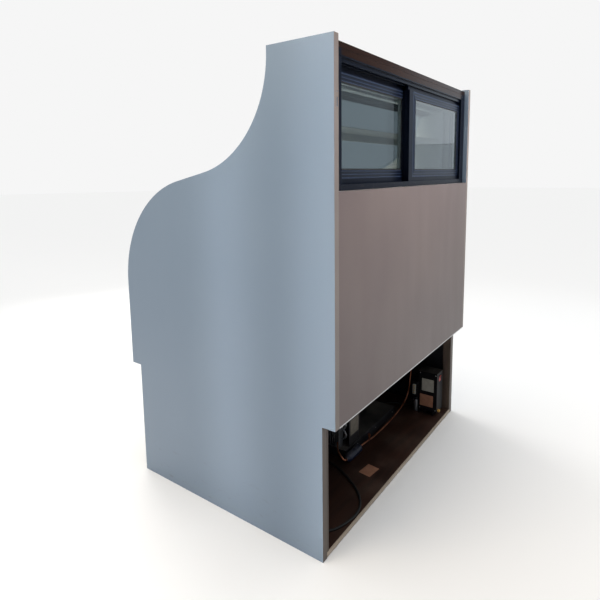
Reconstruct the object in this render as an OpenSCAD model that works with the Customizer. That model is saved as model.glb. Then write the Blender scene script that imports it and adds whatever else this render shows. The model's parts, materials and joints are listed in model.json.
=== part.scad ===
// Open-front refrigerated merchandiser with S-shaped end panels. Staff fill its upper
// shelves through two sliding glass doors in the back.
// The origin is the middle of the footprint, on the floor, and +Z is up. The customers'
// side faces -Y. Depths along the case, called u, run forwards from the back edge.

/* [Case] */
// Width over the two end panels
case_w = 1270; // [1100:1:1540]
// Depth from the back edge to the front of the end panels
case_d = 1042; // [1000:1:1260]
// Height to the top of the end panels
case_h = 1690; // [1640:1:2040]
// Thickness of an end panel
panel_t = 25; // [18:1:36]

/* [End panel outline] */
// Depth of the panel at its top
top_d = 250; // [240:1:280]
// Radius of the hollow curve below the top
neck_r = 380; // [300:5:400]
// Straight front edge above the hollow curve
neck_drop = 18; // [0:1:40]
// Slope of the shoulder between the two curves, in degrees
shoulder_slope = 12; // [8:1:20]
// Radius of the round curve at the front
bulge_r = 435; // [380:5:460]
// Height of the base, up to the overhang of the case
base_h = 482; // [440:1:520]
// How far the base stands in from the back edge
rear_recess = 50; // [30:1:80]
// How far the base stands in from the front edge
toe_recess = 54; // [30:1:70]

/* [Walls] */
// Thickness of the back panel
skin_t = 12; // [8:1:16]
// Thickness of the insulated back and front walls
wall_t = 50; // [40:1:60]
// Thickness of the insulated tub floor
tub_t = 50; // [40:1:60]
// Height of the front wall above the tub floor
front_wall_h = 188; // [180:1:220]
// Thickness of an end liner
liner_t = 6; // [4:1:10]
// Distance of a liner's edge from the end panel's edge
liner_inset = 14; // [8:1:24]
// Thickness of sheet metal parts
sheet_t = 2; // [1.5:0.1:3]
// Thickness of the base floor board
floor_t = 18; // [12:1:24]

/* [Rear doors] */
// Height of the whole door frame
frame_h = 426; // [380:1:460]
// Width of the frame flange that shows
flange_w = 50; // [36:1:56]
// How far the frame flange stands in from the back edge
frame_recess = 20; // [17:1:30]
// Thickness of a sash
sash_t = 26; // [24:1:30]
// Width of a sash stile
stile_w = 64; // [50:1:76]
// Height of a sash top rail
top_rail = 32; // [26:1:44]
// Height of a sash bottom rail
bottom_rail = 56; // [40:1:70]
// Width of the stepped bead around the glass
bead_w = 28; // [16:1:28]
// Thickness of one pane
pane_t = 4; // [3:0.5:5]
// Air space between the two panes
pane_gap = 12; // [8:1:12]

/* [Display] */
// Height of the deck above the tub floor
deck_h = 158; // [150:1:170]
// Height of the lower shelf above the deck
lower_rise = 270; // [240:1:300]
// Depth of the lower shelf
lower_d = 560; // [400:5:620]
// Height of the upper shelf above the door frame's foot
upper_rise = 48; // [40:1:60]
// Depth of the upper shelf
upper_d = 290; // [200:5:310]
// Height of the top shelf above the upper shelf
top_rise = 170; // [150:1:190]
// Depth of the top shelf
top_shelf_d = 140; // [110:5:150]
// Height of the front glass above its slot's floor
glass_h = 132; // [100:1:150]
// Thickness of the front glass
glass_t = 6; // [5:1:8]
// Thickness of the canopy above the lamp
canopy_h = 63; // [55:1:75]

/* [Cooling] */
// Radius of an evaporator fan
evap_fan_r = 60; // [45:1:62]
// Radius of the condenser fan
cond_fan_r = 118; // [95:1:120]
// Radius of a motor shaft
shaft_r = 3; // [2.5:0.5:4]
// Radius of the compressor shell
compressor_r = 88; // [70:1:92]
// Radius of the copper lines
line_r = 4; // [3:0.5:5]

/* [Base sockets] */
// Radius of the tapped hole
socket_r = 4.25; // [3.3:0.05:5.1]
// Distance between the sockets across the case
socket_pitch_x = 1040; // [860:1:1160]
// Distance between the sockets along the depth
socket_pitch_y = 730; // [600:1:760]

/* [Hidden] */
$fn = 48;
eps = 0.5;
arc_steps = 26;

// Widths across the inside
inner_x = case_w / 2 - panel_t;
liner_x = inner_x - liner_t;
loose = 4;

// Heights
sole_t = 3;
floor_top = sole_t + floor_t;
tub_top = base_h + tub_t;
front_wall_top = tub_top + front_wall_h;
cap_h = 16;
cap_top = front_wall_top + cap_h;
deck_z = tub_top + deck_h;
board_t = 18;
board_drop = 9;
board_top = case_h - board_drop;
head_top = board_top - board_t;
frame_z = head_top - frame_h;
canopy_z = head_top - canopy_h;
lower_z = deck_z + lower_rise;
upper_z = frame_z + upper_rise;
top_z = upper_z + top_rise;

// Depths
base_front = case_d - toe_recess;
wall_in = skin_t + wall_t;
duct_gap = 60;
duct_u = wall_in + duct_gap;
duct_front = duct_u + sheet_t;
fascia_t = 3;
fascia_out = case_d - 9;
front_wall_out = fascia_out - fascia_t;
front_wall_in = front_wall_out - wall_t;
cap_over = 4;
grille_d = 54;
grille_u = front_wall_in - grille_d;
liner_u = 100;
top_front = top_d - 12;

// Door frame and tracks
frame_in = frame_recess + 72;
flange_t = 8;
sash_clear = 2;
sash_gap = 4;
outer_u = frame_recess + flange_t + sash_clear;
inner_u = outer_u + sash_t + sash_gap;
sill_t = 6;
rib_h = 10;
rib_t = 2;
lip_h = 14;
sash_foot = 3;
sash_z = frame_z + sill_t + sash_foot;
head_block_h = 37;
head_groove_h = 14;
head_z = head_top - head_block_h;
sash_top = head_z - head_groove_h;
tongue_t = 10;
tongue_h = 22;
sash_end = inner_x - 10;
meet = stile_w / 2;
glaze_in = 8;
glaze_play = 0.3;
unit_t = 2 * pane_t + pane_gap;
bead_lip = 0.7;
bead_step = (sash_t - unit_t) / 2 - glaze_play - bead_lip;

// Shelves
post_w = 20;
post_d = 14;
post_u = duct_front;
shelf_u = post_u + post_d;
shelf_x = liner_x - 8;
shelf_lip = 25;
bracket_t = 3;
bracket_x = shelf_x - 5;
rail_t = 3;

// Condensing unit, which blows across the case from its +X side
unit_x0 = -400;
unit_x1 = 110;
unit_y0 = -200;
unit_y1 = 246;
unit_z = 60;
coil_x = [70, 105];
coil_y = [-180, 240];
coil_h = 268;
fan_y = 30;
fan_z = unit_z + 136;
shroud_x = -22;
motor_r = 42;
compressor_y = 40;
compressor_x = -260;

// Evaporator
fan_pitch = 580;
plenum_u = 858;
evap_fan_z = tub_top + deck_h / 2;
evap_motor_r = 28;
tube_r = 5;
tube_rows = [38, 78, 118];
tube_cols = [570, 650, 730];
fin_x = 560;
fin_pitch = 40;

// Power cord: a 9 mm lead, 2.5 m long, from the gland to the coil and on to the plug
cord_r = 4.5;
cord_y = 40;
gland_z = 42;
gland_l = 22;
coil_c = [500, 300];
coil_in = 34;
coil_out = 66;
coil_hh = 19;
cord_route = [
    [132, 40, 42], [152, 42, 41], [169, 52, 37], [180, 70, 32], [184, 93, 28],
    [182, 117, 26], [178, 141, 26], [174, 165, 26], [172, 188, 26], [174, 211, 26],
    [180, 234, 26], [189, 257, 26], [200, 280, 26], [212, 303, 26], [225, 326, 26],
    [239, 349, 26], [254, 371, 26], [270, 391, 26], [288, 410, 26], [308, 428, 26],
    [330, 443, 26], [354, 455, 26], [380, 461, 26], [406, 463, 26], [432, 460, 26],
    [458, 455, 26], [483, 448, 26], [507, 438, 26], [528, 424, 26], [544, 405, 26],
    [554, 382, 26], [559, 357, 26], [561, 330, 26]
];
tail_route = [[561, 272, 35], [561, 251, 34], [561, 230, 34]];

// Copper lines
liquid_route = [
    [-540, 285, 540], [-538, 285, 420], [-532, 284, 320], [-522, 283, 220], [-508, 283, 160],
    [-490, 282, 115], [-455, 280, 80], [-400, 276, 56], [-330, 272, 38], [-260, 268, 29],
    [-190, 266, 26], [-120, 266, 27], [-60, 268, 36], [-10, 270, 44], [16, 270, 46]
];
suction_route = [
    [-560, 180, 540], [-560, 180, 420], [-552, 172, 340], [-520, 150, 280],
    [-470, 120, 240], [-410, 85, 225],
    [compressor_x - compressor_r - 17, 55, 222], [compressor_x - compressor_r + 4, 45, 221]
];
stub_route = [[144, 270, 46], [158, 268, 50], [160, 255, 62], [148, 230, 76], [104, 200, 84]];

// A depth u from the back edge, as a Y coordinate
function yr(u) = case_d / 2 - u;

// Outline points in [u, z]; inset moves the curves into the panel
function neck_c() = [top_d + neck_r, case_h - neck_drop];
function neck_arc(inset) = [
    for (k = [0:arc_steps])
        let (t = (90 - shoulder_slope) * k / arc_steps)
            neck_c() - (neck_r + inset) * [cos(t), sin(t)]
];
function bulge_u() = case_d - bulge_r;
function bulge_z() =
    let (
        start = neck_arc(0)[arc_steps],
        touch = bulge_u() + bulge_r * sin(shoulder_slope)
    )
        start[1] - tan(shoulder_slope) * (touch - start[0]) - bulge_r * cos(shoulder_slope);
function bulge_arc(inset) = [
    for (k = [0:arc_steps])
        let (t = shoulder_slope + (90 - shoulder_slope) * k / arc_steps)
            [bulge_u(), bulge_z()] + (bulge_r - inset) * [sin(t), cos(t)]
];
function neck_u(inset, z) = neck_c()[0] - sqrt(pow(neck_r + inset, 2) - pow(neck_c()[1] - z, 2));

// Sweep along a route, with the ring turned as little as possible
function unit(v) = v / norm(v);
function square_to(v, t) = unit(v - (v * t) * t);
function tangents(p) = [
    for (i = [0:len(p) - 1]) unit(p[min(i + 1, len(p) - 1)] - p[max(i - 1, 0)])
];
function normals(t) = [
    for (i = 0, n = square_to([0.3, 0.2, 1], t[0]); i < len(t);
         i = i + 1, n = i < len(t) ? square_to(n, t[i]) : n) n
];
function blend(a, b, c, d, t) =
    0.5 * (2 * b + (c - a) * t + (2 * a - 5 * b + 4 * c - d) * t * t
    + (3 * b - a - 3 * c + d) * t * t * t);
function smooth(p, m) = concat([
    for (i = [0:len(p) - 2], k = [0:m - 1])
        blend(p[max(i - 1, 0)], p[i], p[i + 1], p[min(i + 2, len(p) - 1)], k / m)
], [p[len(p) - 1]]);

module sweep(path, r, sides) {
    t = tangents(path);
    n = normals(t);
    points = [
        for (i = [0:len(path) - 1], k = [0:sides - 1])
            let (a = 360 * k / sides)
                path[i] + r * (cos(a) * n[i] + sin(a) * cross(t[i], n[i]))
    ];
    walls = [
        for (i = [0:len(path) - 2], k = [0:sides - 1])
            let (a = i * sides + k, b = i * sides + (k + 1) % sides)
                each [[a, a + sides, b], [b, a + sides, b + sides]]
    ];
    last = (len(path) - 1) * sides;
    caps = [
        [for (k = [0:sides - 1]) k],
        [for (k = [0:sides - 1]) last + sides - 1 - k]
    ];
    polyhedron(points, concat(walls, caps));
}

// A block between two X, two depths and two heights
module block(x0, x1, u0, u1, z0, z1) {
    translate([x0, yr(u1), z0]) cube([x1 - x0, u1 - u0, z1 - z0]);
}

// A plate across X from an outline in [u, z]
module slab(x0, thick, outline) {
    translate([x0, 0, 0]) rotate([90, 0, 90]) linear_extrude(thick)
        polygon([for (p = outline) [yr(p[0]), p[1]]]);
}

// A round bar along Y between two depths
module bar_u(x, z, r, u0, u1) {
    translate([x, yr(u0), z]) rotate([90, 0, 0]) cylinder(h = u1 - u0, r = r);
}

// A round bar along X
module bar_x(x0, x1, y, z, r) {
    translate([x0, y, z]) rotate([0, 90, 0]) cylinder(h = x1 - x0, r = r);
}

function case_outline() = concat(
    [[0, base_h], [0, case_h], [top_d, case_h]],
    neck_arc(0),
    bulge_arc(0),
    [
        [case_d, base_h], [base_front, base_h], [base_front, 0],
        [rear_recess, 0], [rear_recess, base_h]
    ]
);

module end_panel_left() {
    color("LightSteelBlue") slab(-case_w / 2, panel_t, case_outline());
}

module end_panel_right() {
    catch_z = case_h - 162;
    catch_depth = 14;
    catch_x = inner_x + 8;
    color("LightSteelBlue") difference() {
        slab(inner_x, panel_t, case_outline());
        bar_u(catch_x, catch_z, 3, -eps, catch_depth);
        block(catch_x - 2.5, catch_x + 2.5, -eps, catch_depth, catch_z - 44, catch_z - 16);
    }
}

function socket_spots() = [
    for (x = [-1, 1], y = [-1, 1])
        [x * socket_pitch_x / 2, (rear_recess - toe_recess) / -2 + y * socket_pitch_y / 2]
];
barrel_r = 8;
play = 0.05;

module base_floor() {
    front = base_front - 8;
    color("#3b2a24") difference() {
        block(-inner_x, inner_x, rear_recess + 3, front, sole_t, floor_top);
        for (p = socket_spots())
            translate([p[0], p[1], 0]) cylinder(h = floor_top + eps, r = barrel_r + play);
    }
}

module base_edge_trim() {
    color("#a39588") block(-inner_x, inner_x, rear_recess, rear_recess + 3, sole_t, floor_top);
}

module base_sockets() {
    color("silver") for (p = socket_spots()) translate([p[0], p[1], 0]) difference() {
        union() {
            cylinder(h = sole_t, r = 17);
            cylinder(h = floor_top, r = barrel_r);
        }
        translate([0, 0, -eps]) cylinder(h = floor_top + 2 * eps, r = socket_r);
    }
}

upright_t = 11;
upright_d = 40;

module base_uprights() {
    color("#8a7a6c") for (x = [-inner_x, inner_x - upright_t])
        block(x, x + upright_t, rear_recess, rear_recess + upright_d, floor_top, base_h);
}

module kick_panel() {
    back = base_front - 20;
    slot_x0 = 130;
    slot_x1 = inner_x - 60;
    color("#2c2d30") difference() {
        block(-inner_x, inner_x, back, back + 12, floor_top, base_h);
        for (i = [0:11])
            block(slot_x0, slot_x1, back - eps, back + 12 + eps, 110 + 24 * i, 122 + 24 * i);
    }
}

module rear_panel() {
    color("#877b75") block(-inner_x, inner_x, 0, skin_t, base_h, frame_z);
}

module back_wall() {
    color("#d5d3cc") block(-inner_x, inner_x, skin_t, wall_in, tub_top, frame_z);
}

line_hole_r = line_r + 4;

module tub_floor() {
    color("#d5d3cc") difference() {
        block(-inner_x, inner_x, skin_t, front_wall_out, base_h, tub_top);
        for (p = [liquid_route[0], suction_route[0]])
            translate([p[0], p[1], base_h - eps]) cylinder(h = tub_t + 2 * eps, r = line_hole_r);
    }
}

module front_wall() {
    color("#d5d3cc")
        block(-inner_x, inner_x, front_wall_in, front_wall_out, tub_top, front_wall_top);
}

module front_fascia() {
    color("#2c2d30")
        block(-inner_x, inner_x, front_wall_out, fascia_out, base_h, front_wall_top);
}

module bumper() {
    z0 = base_h + 120;
    h = 50;
    bulge = case_d - fascia_out;
    color("#1a1a1c") slab(-inner_x, 2 * inner_x, concat(
        [[fascia_out, z0 + h], [fascia_out, z0]],
        [for (a = [-75:15:75]) [fascia_out + bulge * cos(a), z0 + h / 2 + h / 2 * sin(a)]]
    ));
}

glass_u = front_wall_out - 18;
slot_play = 0.5;
slot_depth = 8;

module sill_cap() {
    color("silver") difference() {
        block(-inner_x, inner_x, front_wall_in - cap_over, fascia_out + 3, front_wall_top, cap_top);
        block(-inner_x - eps, inner_x + eps, glass_u - slot_play, glass_u + glass_t + slot_play,
            cap_top - slot_depth, cap_top + eps);
    }
}

module front_glass() {
    half = liner_x - loose;
    corner = 12;
    z0 = cap_top - slot_depth;
    color([0.7, 0.85, 0.85, 0.4]) translate([0, yr(glass_u), 0]) rotate([90, 0, 0])
        linear_extrude(glass_t) difference() {
            translate([-half, z0]) square([2 * half, glass_h]);
            for (s = [-1, 1]) difference() {
                translate([s * (half - corner / 2), z0 + glass_h - corner / 2])
                    square(corner + eps, center = true);
                translate([s * (half - corner), z0 + glass_h - corner]) circle(corner);
            }
        }
}

module return_grille() {
    z1 = deck_z;
    pitch = 20;
    half = liner_x - loose;
    legs = [-half, -half / 2, -10, half / 2, half - 20];
    color("#3a3a3c") {
        difference() {
            block(-half, half, grille_u, front_wall_in - 1, z1 - sheet_t, z1);
            for (x = [-half + 14:pitch:half - 22])
                block(x, x + 8, grille_u + 8, front_wall_in - 6, z1 - sheet_t - eps, z1 + eps);
        }
        for (x = legs) block(x, x + 20, grille_u, grille_u + sheet_t, tub_top, z1 - sheet_t);
    }
}

module deck_pans() {
    pans = 3;
    span = 2 * (liner_x - loose);
    joint = 2;
    w = (span - (pans - 1) * joint) / pans;
    lip = 12;
    back = duct_front + 2;
    front = grille_u - 2;
    color("#3f4044") for (i = [0:pans - 1]) {
        x = -span / 2 + i * (w + joint);
        difference() {
            block(x, x + w, back, front, deck_z - lip, deck_z + sheet_t);
            block(x + sheet_t, x + w - sheet_t, back - eps, front - sheet_t, deck_z - lip - eps, deck_z);
            block(x - eps, x + w + eps, plenum_u - 4, plenum_u + 20, deck_z - lip - eps, deck_z);
            block(x - eps, x + w + eps, back - eps, duct_front + ledge_d + 1, deck_z - lip - eps, deck_z);
        }
    }
}

ledge_d = 18;

module duct_panel() {
    rows = 7;
    cols = 5;
    row_pitch = 66;
    slot_w = 170;
    col_pitch = 2 * liner_x / cols;
    color("#3f4044") difference() {
        union() {
            block(-liner_x, liner_x, duct_u, duct_front, deck_z - sheet_t, frame_z);
            block(-liner_x, liner_x, duct_u, duct_front + ledge_d, deck_z - sheet_t, deck_z);
            block(-liner_x, liner_x, wall_in, duct_front, frame_z - sheet_t, frame_z);
        }
        for (i = [0:cols - 1], k = [0:rows - 1]) {
            x = -liner_x + col_pitch * (i + 0.5);
            z = deck_z + 48 + row_pitch * k;
            block(x - slot_w / 2, x + slot_w / 2, duct_u - eps, duct_front + eps, z, z + 6);
        }
    }
}

function liner_outline() = concat(
    [[liner_u, tub_top], [liner_u, canopy_z], [neck_u(liner_inset, canopy_z), canopy_z]],
    [for (p = neck_arc(liner_inset)) if (p[1] < canopy_z - 4) p],
    bulge_arc(liner_inset),
    [
        [case_d - liner_inset, cap_top + 1],
        [front_wall_in - cap_over - 1, cap_top + 1],
        [front_wall_in - cap_over - 1, tub_top]
    ]
);

module liner_left() {
    color("#e3e2dd") slab(-inner_x, liner_t, liner_outline());
}

module liner_right() {
    color("#e3e2dd") slab(liner_x, liner_t, liner_outline());
}

module top_board() {
    color("#3a2b27") block(-inner_x, inner_x, frame_recess, top_front, head_top, board_top);
}

air_d = 32;
air_u = top_front - sheet_t - air_d;
air_h = 20;

module canopy_shell() {
    skirt = 28;
    windows = 6;
    strap = 30;
    pitch = 2 * liner_x / windows;
    color("#2c2d30") difference() {
        block(-inner_x, inner_x, frame_in, top_front, canopy_z - skirt, head_top);
        block(-inner_x - eps, inner_x + eps, frame_in + sheet_t, top_front - sheet_t,
            canopy_z + sheet_t, head_top + eps);
        block(-inner_x - eps, inner_x + eps, frame_in - eps, air_u - sheet_t,
            canopy_z - skirt - eps, canopy_z);
        block(-inner_x - eps, inner_x + eps, air_u - sheet_t - eps, air_u,
            canopy_z - skirt - eps, canopy_z - air_h);
        block(-inner_x - eps, inner_x + eps, air_u, top_front - sheet_t,
            canopy_z - skirt - eps, canopy_z);
        for (i = [0:windows - 1])
            block(-liner_x + i * pitch + strap, -liner_x + (i + 1) * pitch - strap,
                air_u + 4, top_front - sheet_t - 4, canopy_z - eps, canopy_z + sheet_t + eps);
        for (s = [-1, 1])
            block(s > 0 ? liner_x : -inner_x - eps, s > 0 ? inner_x + eps : -liner_x,
                frame_in - eps, top_front + eps, canopy_z - skirt - eps, canopy_z);
    }
}

module air_honeycomb() {
    cell = 12;
    wall = 2;
    half = liner_x - loose;
    n = floor((2 * half - wall) / (cell + wall));
    start = -(n * (cell + wall) - wall) / 2;
    color("#c9cbcc") difference() {
        block(-half, half, air_u, air_u + air_d, canopy_z - air_h, canopy_z - eps);
        for (i = [0:n - 1], k = [0:1]) {
            u = air_u + wall + k * (cell + wall + 1);
            x = start + i * (cell + wall);
            block(x, x + cell, u, u + cell + 1, canopy_z - air_h - eps, canopy_z);
        }
    }
}

lamp_u = 130;
lamp_w = 40;
lamp_h = 12;

module lamp_housing() {
    half = liner_x - 44;
    color("silver") block(-half, half, lamp_u, lamp_u + lamp_w, canopy_z - lamp_h, canopy_z);
}

module lamp_lens() {
    half = liner_x - 48;
    color("white") block(-half, half, lamp_u + 4, lamp_u + lamp_w - 4, canopy_z - lamp_h - 5,
        canopy_z - lamp_h);
}

module shelf(z, d) {
    color("#e8e8e4") difference() {
        block(-shelf_x, shelf_x, shelf_u, shelf_u + d, z - shelf_lip, z);
        block(-shelf_x + sheet_t, shelf_x - sheet_t, shelf_u - eps, shelf_u + d - sheet_t,
            z - shelf_lip - eps, z - sheet_t);
    }
}

module shelf_lower() {
    shelf(lower_z, lower_d);
}

module shelf_upper() {
    shelf(upper_z, upper_d);
}

module shelf_top() {
    shelf(top_z, top_shelf_d);
}

module bracket(x, z, d, drop) {
    reach = d - 20;
    slab(x - bracket_t / 2, bracket_t, [
        [shelf_u, z - sheet_t], [shelf_u, z - drop],
        [shelf_u + reach, z - 20], [shelf_u + reach, z - sheet_t]
    ]);
}

module shelf_brackets() {
    ends = [-bracket_x, bracket_x];
    color("silver") {
        for (x = [-bracket_x, 0, bracket_x]) bracket(x, lower_z, lower_d, 90);
        for (x = ends) bracket(x, upper_z, upper_d, 38);
        for (x = ends) bracket(x, top_z, top_shelf_d, 50);
    }
}

module post(x, z1) {
    z0 = deck_z + sheet_t;
    pitch = 40;
    difference() {
        block(x, x + post_w, post_u, post_u + post_d, z0, z1);
        for (z = [z0 + 20:pitch:z1 - 20])
            block(x + post_w / 2 - 1.5, x + post_w / 2 + 1.5, post_u + 6, post_u + post_d + eps, z, z + 14);
    }
}

module shelf_standards() {
    color("silver") {
        post(-liner_x, canopy_z);
        post(liner_x - post_w, canopy_z);
        post(-post_w / 2, frame_z - sheet_t);
    }
}

module price_rail(z, d) {
    u = shelf_u + d;
    top = z + 3;
    foot = z - 32;
    color("#f2f2ee") slab(-shelf_x, 2 * shelf_x, [
        [u, top], [u + 7, top], [u + 7, top - 4], [u + rail_t, top - 5],
        [u + rail_t, foot + 5], [u + 7, foot + 4], [u + 7, foot], [u, foot]
    ]);
}

module price_rails() {
    price_rail(lower_z, lower_d);
    price_rail(upper_z, upper_d);
    price_rail(top_z, top_shelf_d);
}

module tube_holes(x0, x1) {
    for (u = tube_cols, z = tube_rows)
        bar_x(x0, x1, yr(u), tub_top + z, tube_r + play);
}

module evaporator_fins() {
    fin_t = 1;
    plate_t = 2;
    u0 = tube_cols[0] - 30;
    u1 = tube_cols[2] + 30;
    color("#c7cbce") difference() {
        union() {
            for (x = [-fin_x + fin_pitch:fin_pitch:fin_x - fin_pitch])
                block(x, x + fin_t, u0, u1, tub_top + 8, tub_top + 146);
            for (x = [-fin_x, fin_x - plate_t]) block(x, x + plate_t, u0, u1, tub_top, tub_top + 150);
        }
        tube_holes(-fin_x - eps, fin_x + eps);
    }
}

module return_bend(u, x, z, turn) {
    bend_r = (tube_rows[1] - tube_rows[0]) / 2;
    translate([x, yr(u), tub_top + z]) rotate([90, 0, 0]) rotate([0, 0, turn])
        rotate_extrude(angle = 180) translate([bend_r, 0]) circle(tube_r, $fn = 24);
}

module evaporator_tubes() {
    reach = fin_x + 4;
    color("#b87333") for (u = tube_cols) {
        for (z = tube_rows) bar_x(-reach, reach, yr(u), tub_top + z, tube_r);
        return_bend(u, reach, (tube_rows[0] + tube_rows[1]) / 2, -90);
        return_bend(u, -reach, (tube_rows[1] + tube_rows[2]) / 2, 90);
    }
}

module fan_plenum() {
    half = liner_x - 1;
    ring_r = evap_fan_r + 6;
    color("#8b8f92") difference() {
        union() {
            block(-half, half, plenum_u, plenum_u + sheet_t, tub_top, deck_z);
            block(-half, half, plenum_u, plenum_u + 14, tub_top, tub_top + sheet_t);
        }
        for (s = [-1, 1])
            bar_u(s * fan_pitch / 2, evap_fan_z, ring_r, plenum_u - eps, plenum_u + sheet_t + eps);
    }
}

module evaporator_motor(x) {
    bar = 12;
    arm = evap_fan_r + 18;
    u0 = plenum_u - 46;
    bar_u(x, evap_fan_z, evap_motor_r, u0, u0 + 34);
    bar_u(x, evap_fan_z, shaft_r, u0 + 33, plenum_u + 6);
    block(x - arm, x + arm, u0 + 30, u0 + 33, evap_fan_z - bar / 2, evap_fan_z + bar / 2);
    for (s = [-1, 1])
        block(x + s * arm - 2, x + s * arm + 2, u0 + 30, plenum_u, evap_fan_z - bar / 2,
            evap_fan_z + bar / 2);
}

module evaporator_motors() {
    color("#2a2a2c") for (s = [-1, 1]) evaporator_motor(s * fan_pitch / 2);
}

// An axial fan on the Z axis, with pitched blades and a bore
module fan(r, hub_r, hub_l, blades, chord, tilt, bore_r) {
    blade_t = 2;
    difference() {
        union() {
            cylinder(h = hub_l, r = hub_r);
            intersection() {
                translate([0, 0, -hub_l]) cylinder(h = 3 * hub_l, r = r);
                for (i = [0:blades - 1]) rotate([0, 0, 360 * i / blades])
                    translate([hub_r - 2, 0, hub_l / 2]) rotate([tilt, 0, 0])
                        translate([0, -chord / 2, -blade_t / 2]) cube([r, chord, blade_t]);
            }
        }
        translate([0, 0, -eps]) cylinder(h = hub_l + 2 * eps, r = bore_r);
    }
}

module evaporator_fan(x) {
    color("#d8d8d4") translate([x, yr(plenum_u - 8), evap_fan_z]) rotate([90, 0, 0])
        fan(evap_fan_r, 14, 12, 5, 38, 24, shaft_r + play);
}

module evaporator_fan_left() {
    evaporator_fan(-fan_pitch / 2);
}

module evaporator_fan_right() {
    evaporator_fan(fan_pitch / 2);
}

module frame_head() {
    color("#33292a") difference() {
        block(-inner_x, inner_x, frame_recess, frame_in, head_z, head_top);
        block(-inner_x - eps, inner_x + eps, frame_recess - eps, frame_recess + flange_t,
            head_z - eps, head_z + 12);
        for (u = [outer_u, inner_u])
            block(-inner_x - eps, inner_x + eps, u + (sash_t - tongue_t) / 2 - 0.5,
                u + (sash_t + tongue_t) / 2 + 0.5, head_z - eps, head_z + head_groove_h);
    }
}

module frame_sill() {
    lip_top = frame_z + sill_t + lip_h;
    color("#1d2130") {
        difference() {
            block(-inner_x, inner_x, frame_recess, frame_in, frame_z, lip_top);
            block(-inner_x - eps, inner_x + eps, frame_recess + flange_t, frame_in - 4,
                frame_z + sill_t, lip_top + eps);
        }
        for (u = [outer_u, inner_u])
            block(-sash_end, sash_end, u + (sash_t - rib_t) / 2, u + (sash_t + rib_t) / 2,
                frame_z + sill_t - 0.1, frame_z + sill_t + rib_h);
    }
}

module frame_jamb(s) {
    web = 6;
    lip_top = frame_z + sill_t + lip_h;
    x0 = s > 0 ? inner_x - flange_w : -inner_x;
    x1 = s > 0 ? inner_x - web : -inner_x;
    block(x0, x0 + flange_w, frame_recess, frame_recess + flange_t, lip_top, head_z + 12);
    block(x1, x1 + web, frame_recess + flange_t, frame_in - 4, frame_z + sill_t, head_z);
}

module frame_jambs() {
    color("#1d2130") {
        frame_jamb(-1);
        frame_jamb(1);
    }
}

module sash(x0, x1, u0) {
    glass_x0 = x0 + stile_w;
    glass_x1 = x1 - stile_w;
    glass_z0 = sash_z + bottom_rail;
    glass_z1 = sash_top - top_rail;
    half_t = unit_t / 2 + glaze_play;
    mid = u0 + sash_t / 2;
    grow = glaze_in + glaze_play;
    color("#1b2033") difference() {
        union() {
            block(x0, x1, u0, u0 + sash_t, sash_z, sash_top);
            block(x0 + 4, x1 - 4, mid - tongue_t / 2, mid + tongue_t / 2, sash_top - eps, sash_top + tongue_h);
        }
        block(glass_x0, glass_x1, u0 - eps, u0 + sash_t + eps, glass_z0, glass_z1);
        block(glass_x0 - grow, glass_x1 + grow, mid - half_t, mid + half_t,
            glass_z0 - grow, glass_z1 + grow);
        for (u = [u0 - eps, u0 + sash_t - bead_step])
            block(glass_x0 - bead_w, glass_x1 + bead_w, u, u + bead_step + eps,
                glass_z0 - bead_w, glass_z1 + bead_w);
        block(x0 - eps, x1 + eps, mid - rib_t / 2 - 0.5, mid + rib_t / 2 + 0.5,
            sash_z - eps, sash_z - sash_foot + rib_h + 0.3);
    }
}

module sash_pane_pair(x0, x1, u0) {
    mid = u0 + sash_t / 2;
    color([0.75, 0.85, 0.85, 0.4]) for (u = [mid - unit_t / 2, mid + pane_gap / 2])
        block(x0 + stile_w - glaze_in, x1 - stile_w + glaze_in, u, u + pane_t,
            sash_z + bottom_rail - glaze_in, sash_top - top_rail + glaze_in);
}

module sash_spacer(x0, x1, u0) {
    mid = u0 + sash_t / 2;
    show = 5;
    color("silver") difference() {
        block(x0 + stile_w - glaze_in, x1 - stile_w + glaze_in, mid - pane_gap / 2,
            mid + pane_gap / 2, sash_z + bottom_rail - glaze_in, sash_top - top_rail + glaze_in);
        block(x0 + stile_w + show, x1 - stile_w - show, mid - pane_gap, mid + pane_gap,
            sash_z + bottom_rail + show, sash_top - top_rail - show);
    }
}

module outer_sash() {
    sash(-sash_end, meet, outer_u);
}

module outer_glass() {
    sash_pane_pair(-sash_end, meet, outer_u);
}

module outer_spacer() {
    sash_spacer(-sash_end, meet, outer_u);
}

module inner_sash() {
    sash(-meet, sash_end, inner_u);
}

module inner_glass() {
    sash_pane_pair(-meet, sash_end, inner_u);
}

module inner_spacer() {
    sash_spacer(-meet, sash_end, inner_u);
}

module unit_base() {
    color("#1f2023") difference() {
        translate([unit_x0, unit_y0, floor_top])
            cube([unit_x1 - unit_x0, unit_y1 - unit_y0, unit_z - floor_top]);
        translate([unit_x0 + sheet_t, unit_y0 + sheet_t, floor_top - eps])
            cube([unit_x1 - unit_x0 - 2 * sheet_t, unit_y1 - unit_y0 - 2 * sheet_t,
                unit_z - floor_top - sheet_t + eps]);
        bar_x(unit_x1 - 5, unit_x1 + 5, cord_y, gland_z, 7 + play);
    }
}

module compressor() {
    foot_h = 12;
    plate_t = 3;
    shell_z = unit_z + foot_h + plate_t;
    body_h = 150;
    color("#17181a") translate([compressor_x, compressor_y, 0]) {
        for (x = [-1, 1], y = [-1, 1])
            translate([x * 84, y * 74, unit_z]) cylinder(h = foot_h, r = 13);
        translate([-100, -90, unit_z + foot_h]) cube([200, 180, plate_t]);
        translate([0, 0, shell_z]) cylinder(h = body_h, r = compressor_r);
        translate([0, 0, shell_z + body_h])
            cylinder(h = 26, r1 = compressor_r, r2 = compressor_r - 30);
        translate([-30, -compressor_r - 26, shell_z + 50]) cube([60, 40, 60]);
    }
}

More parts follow.
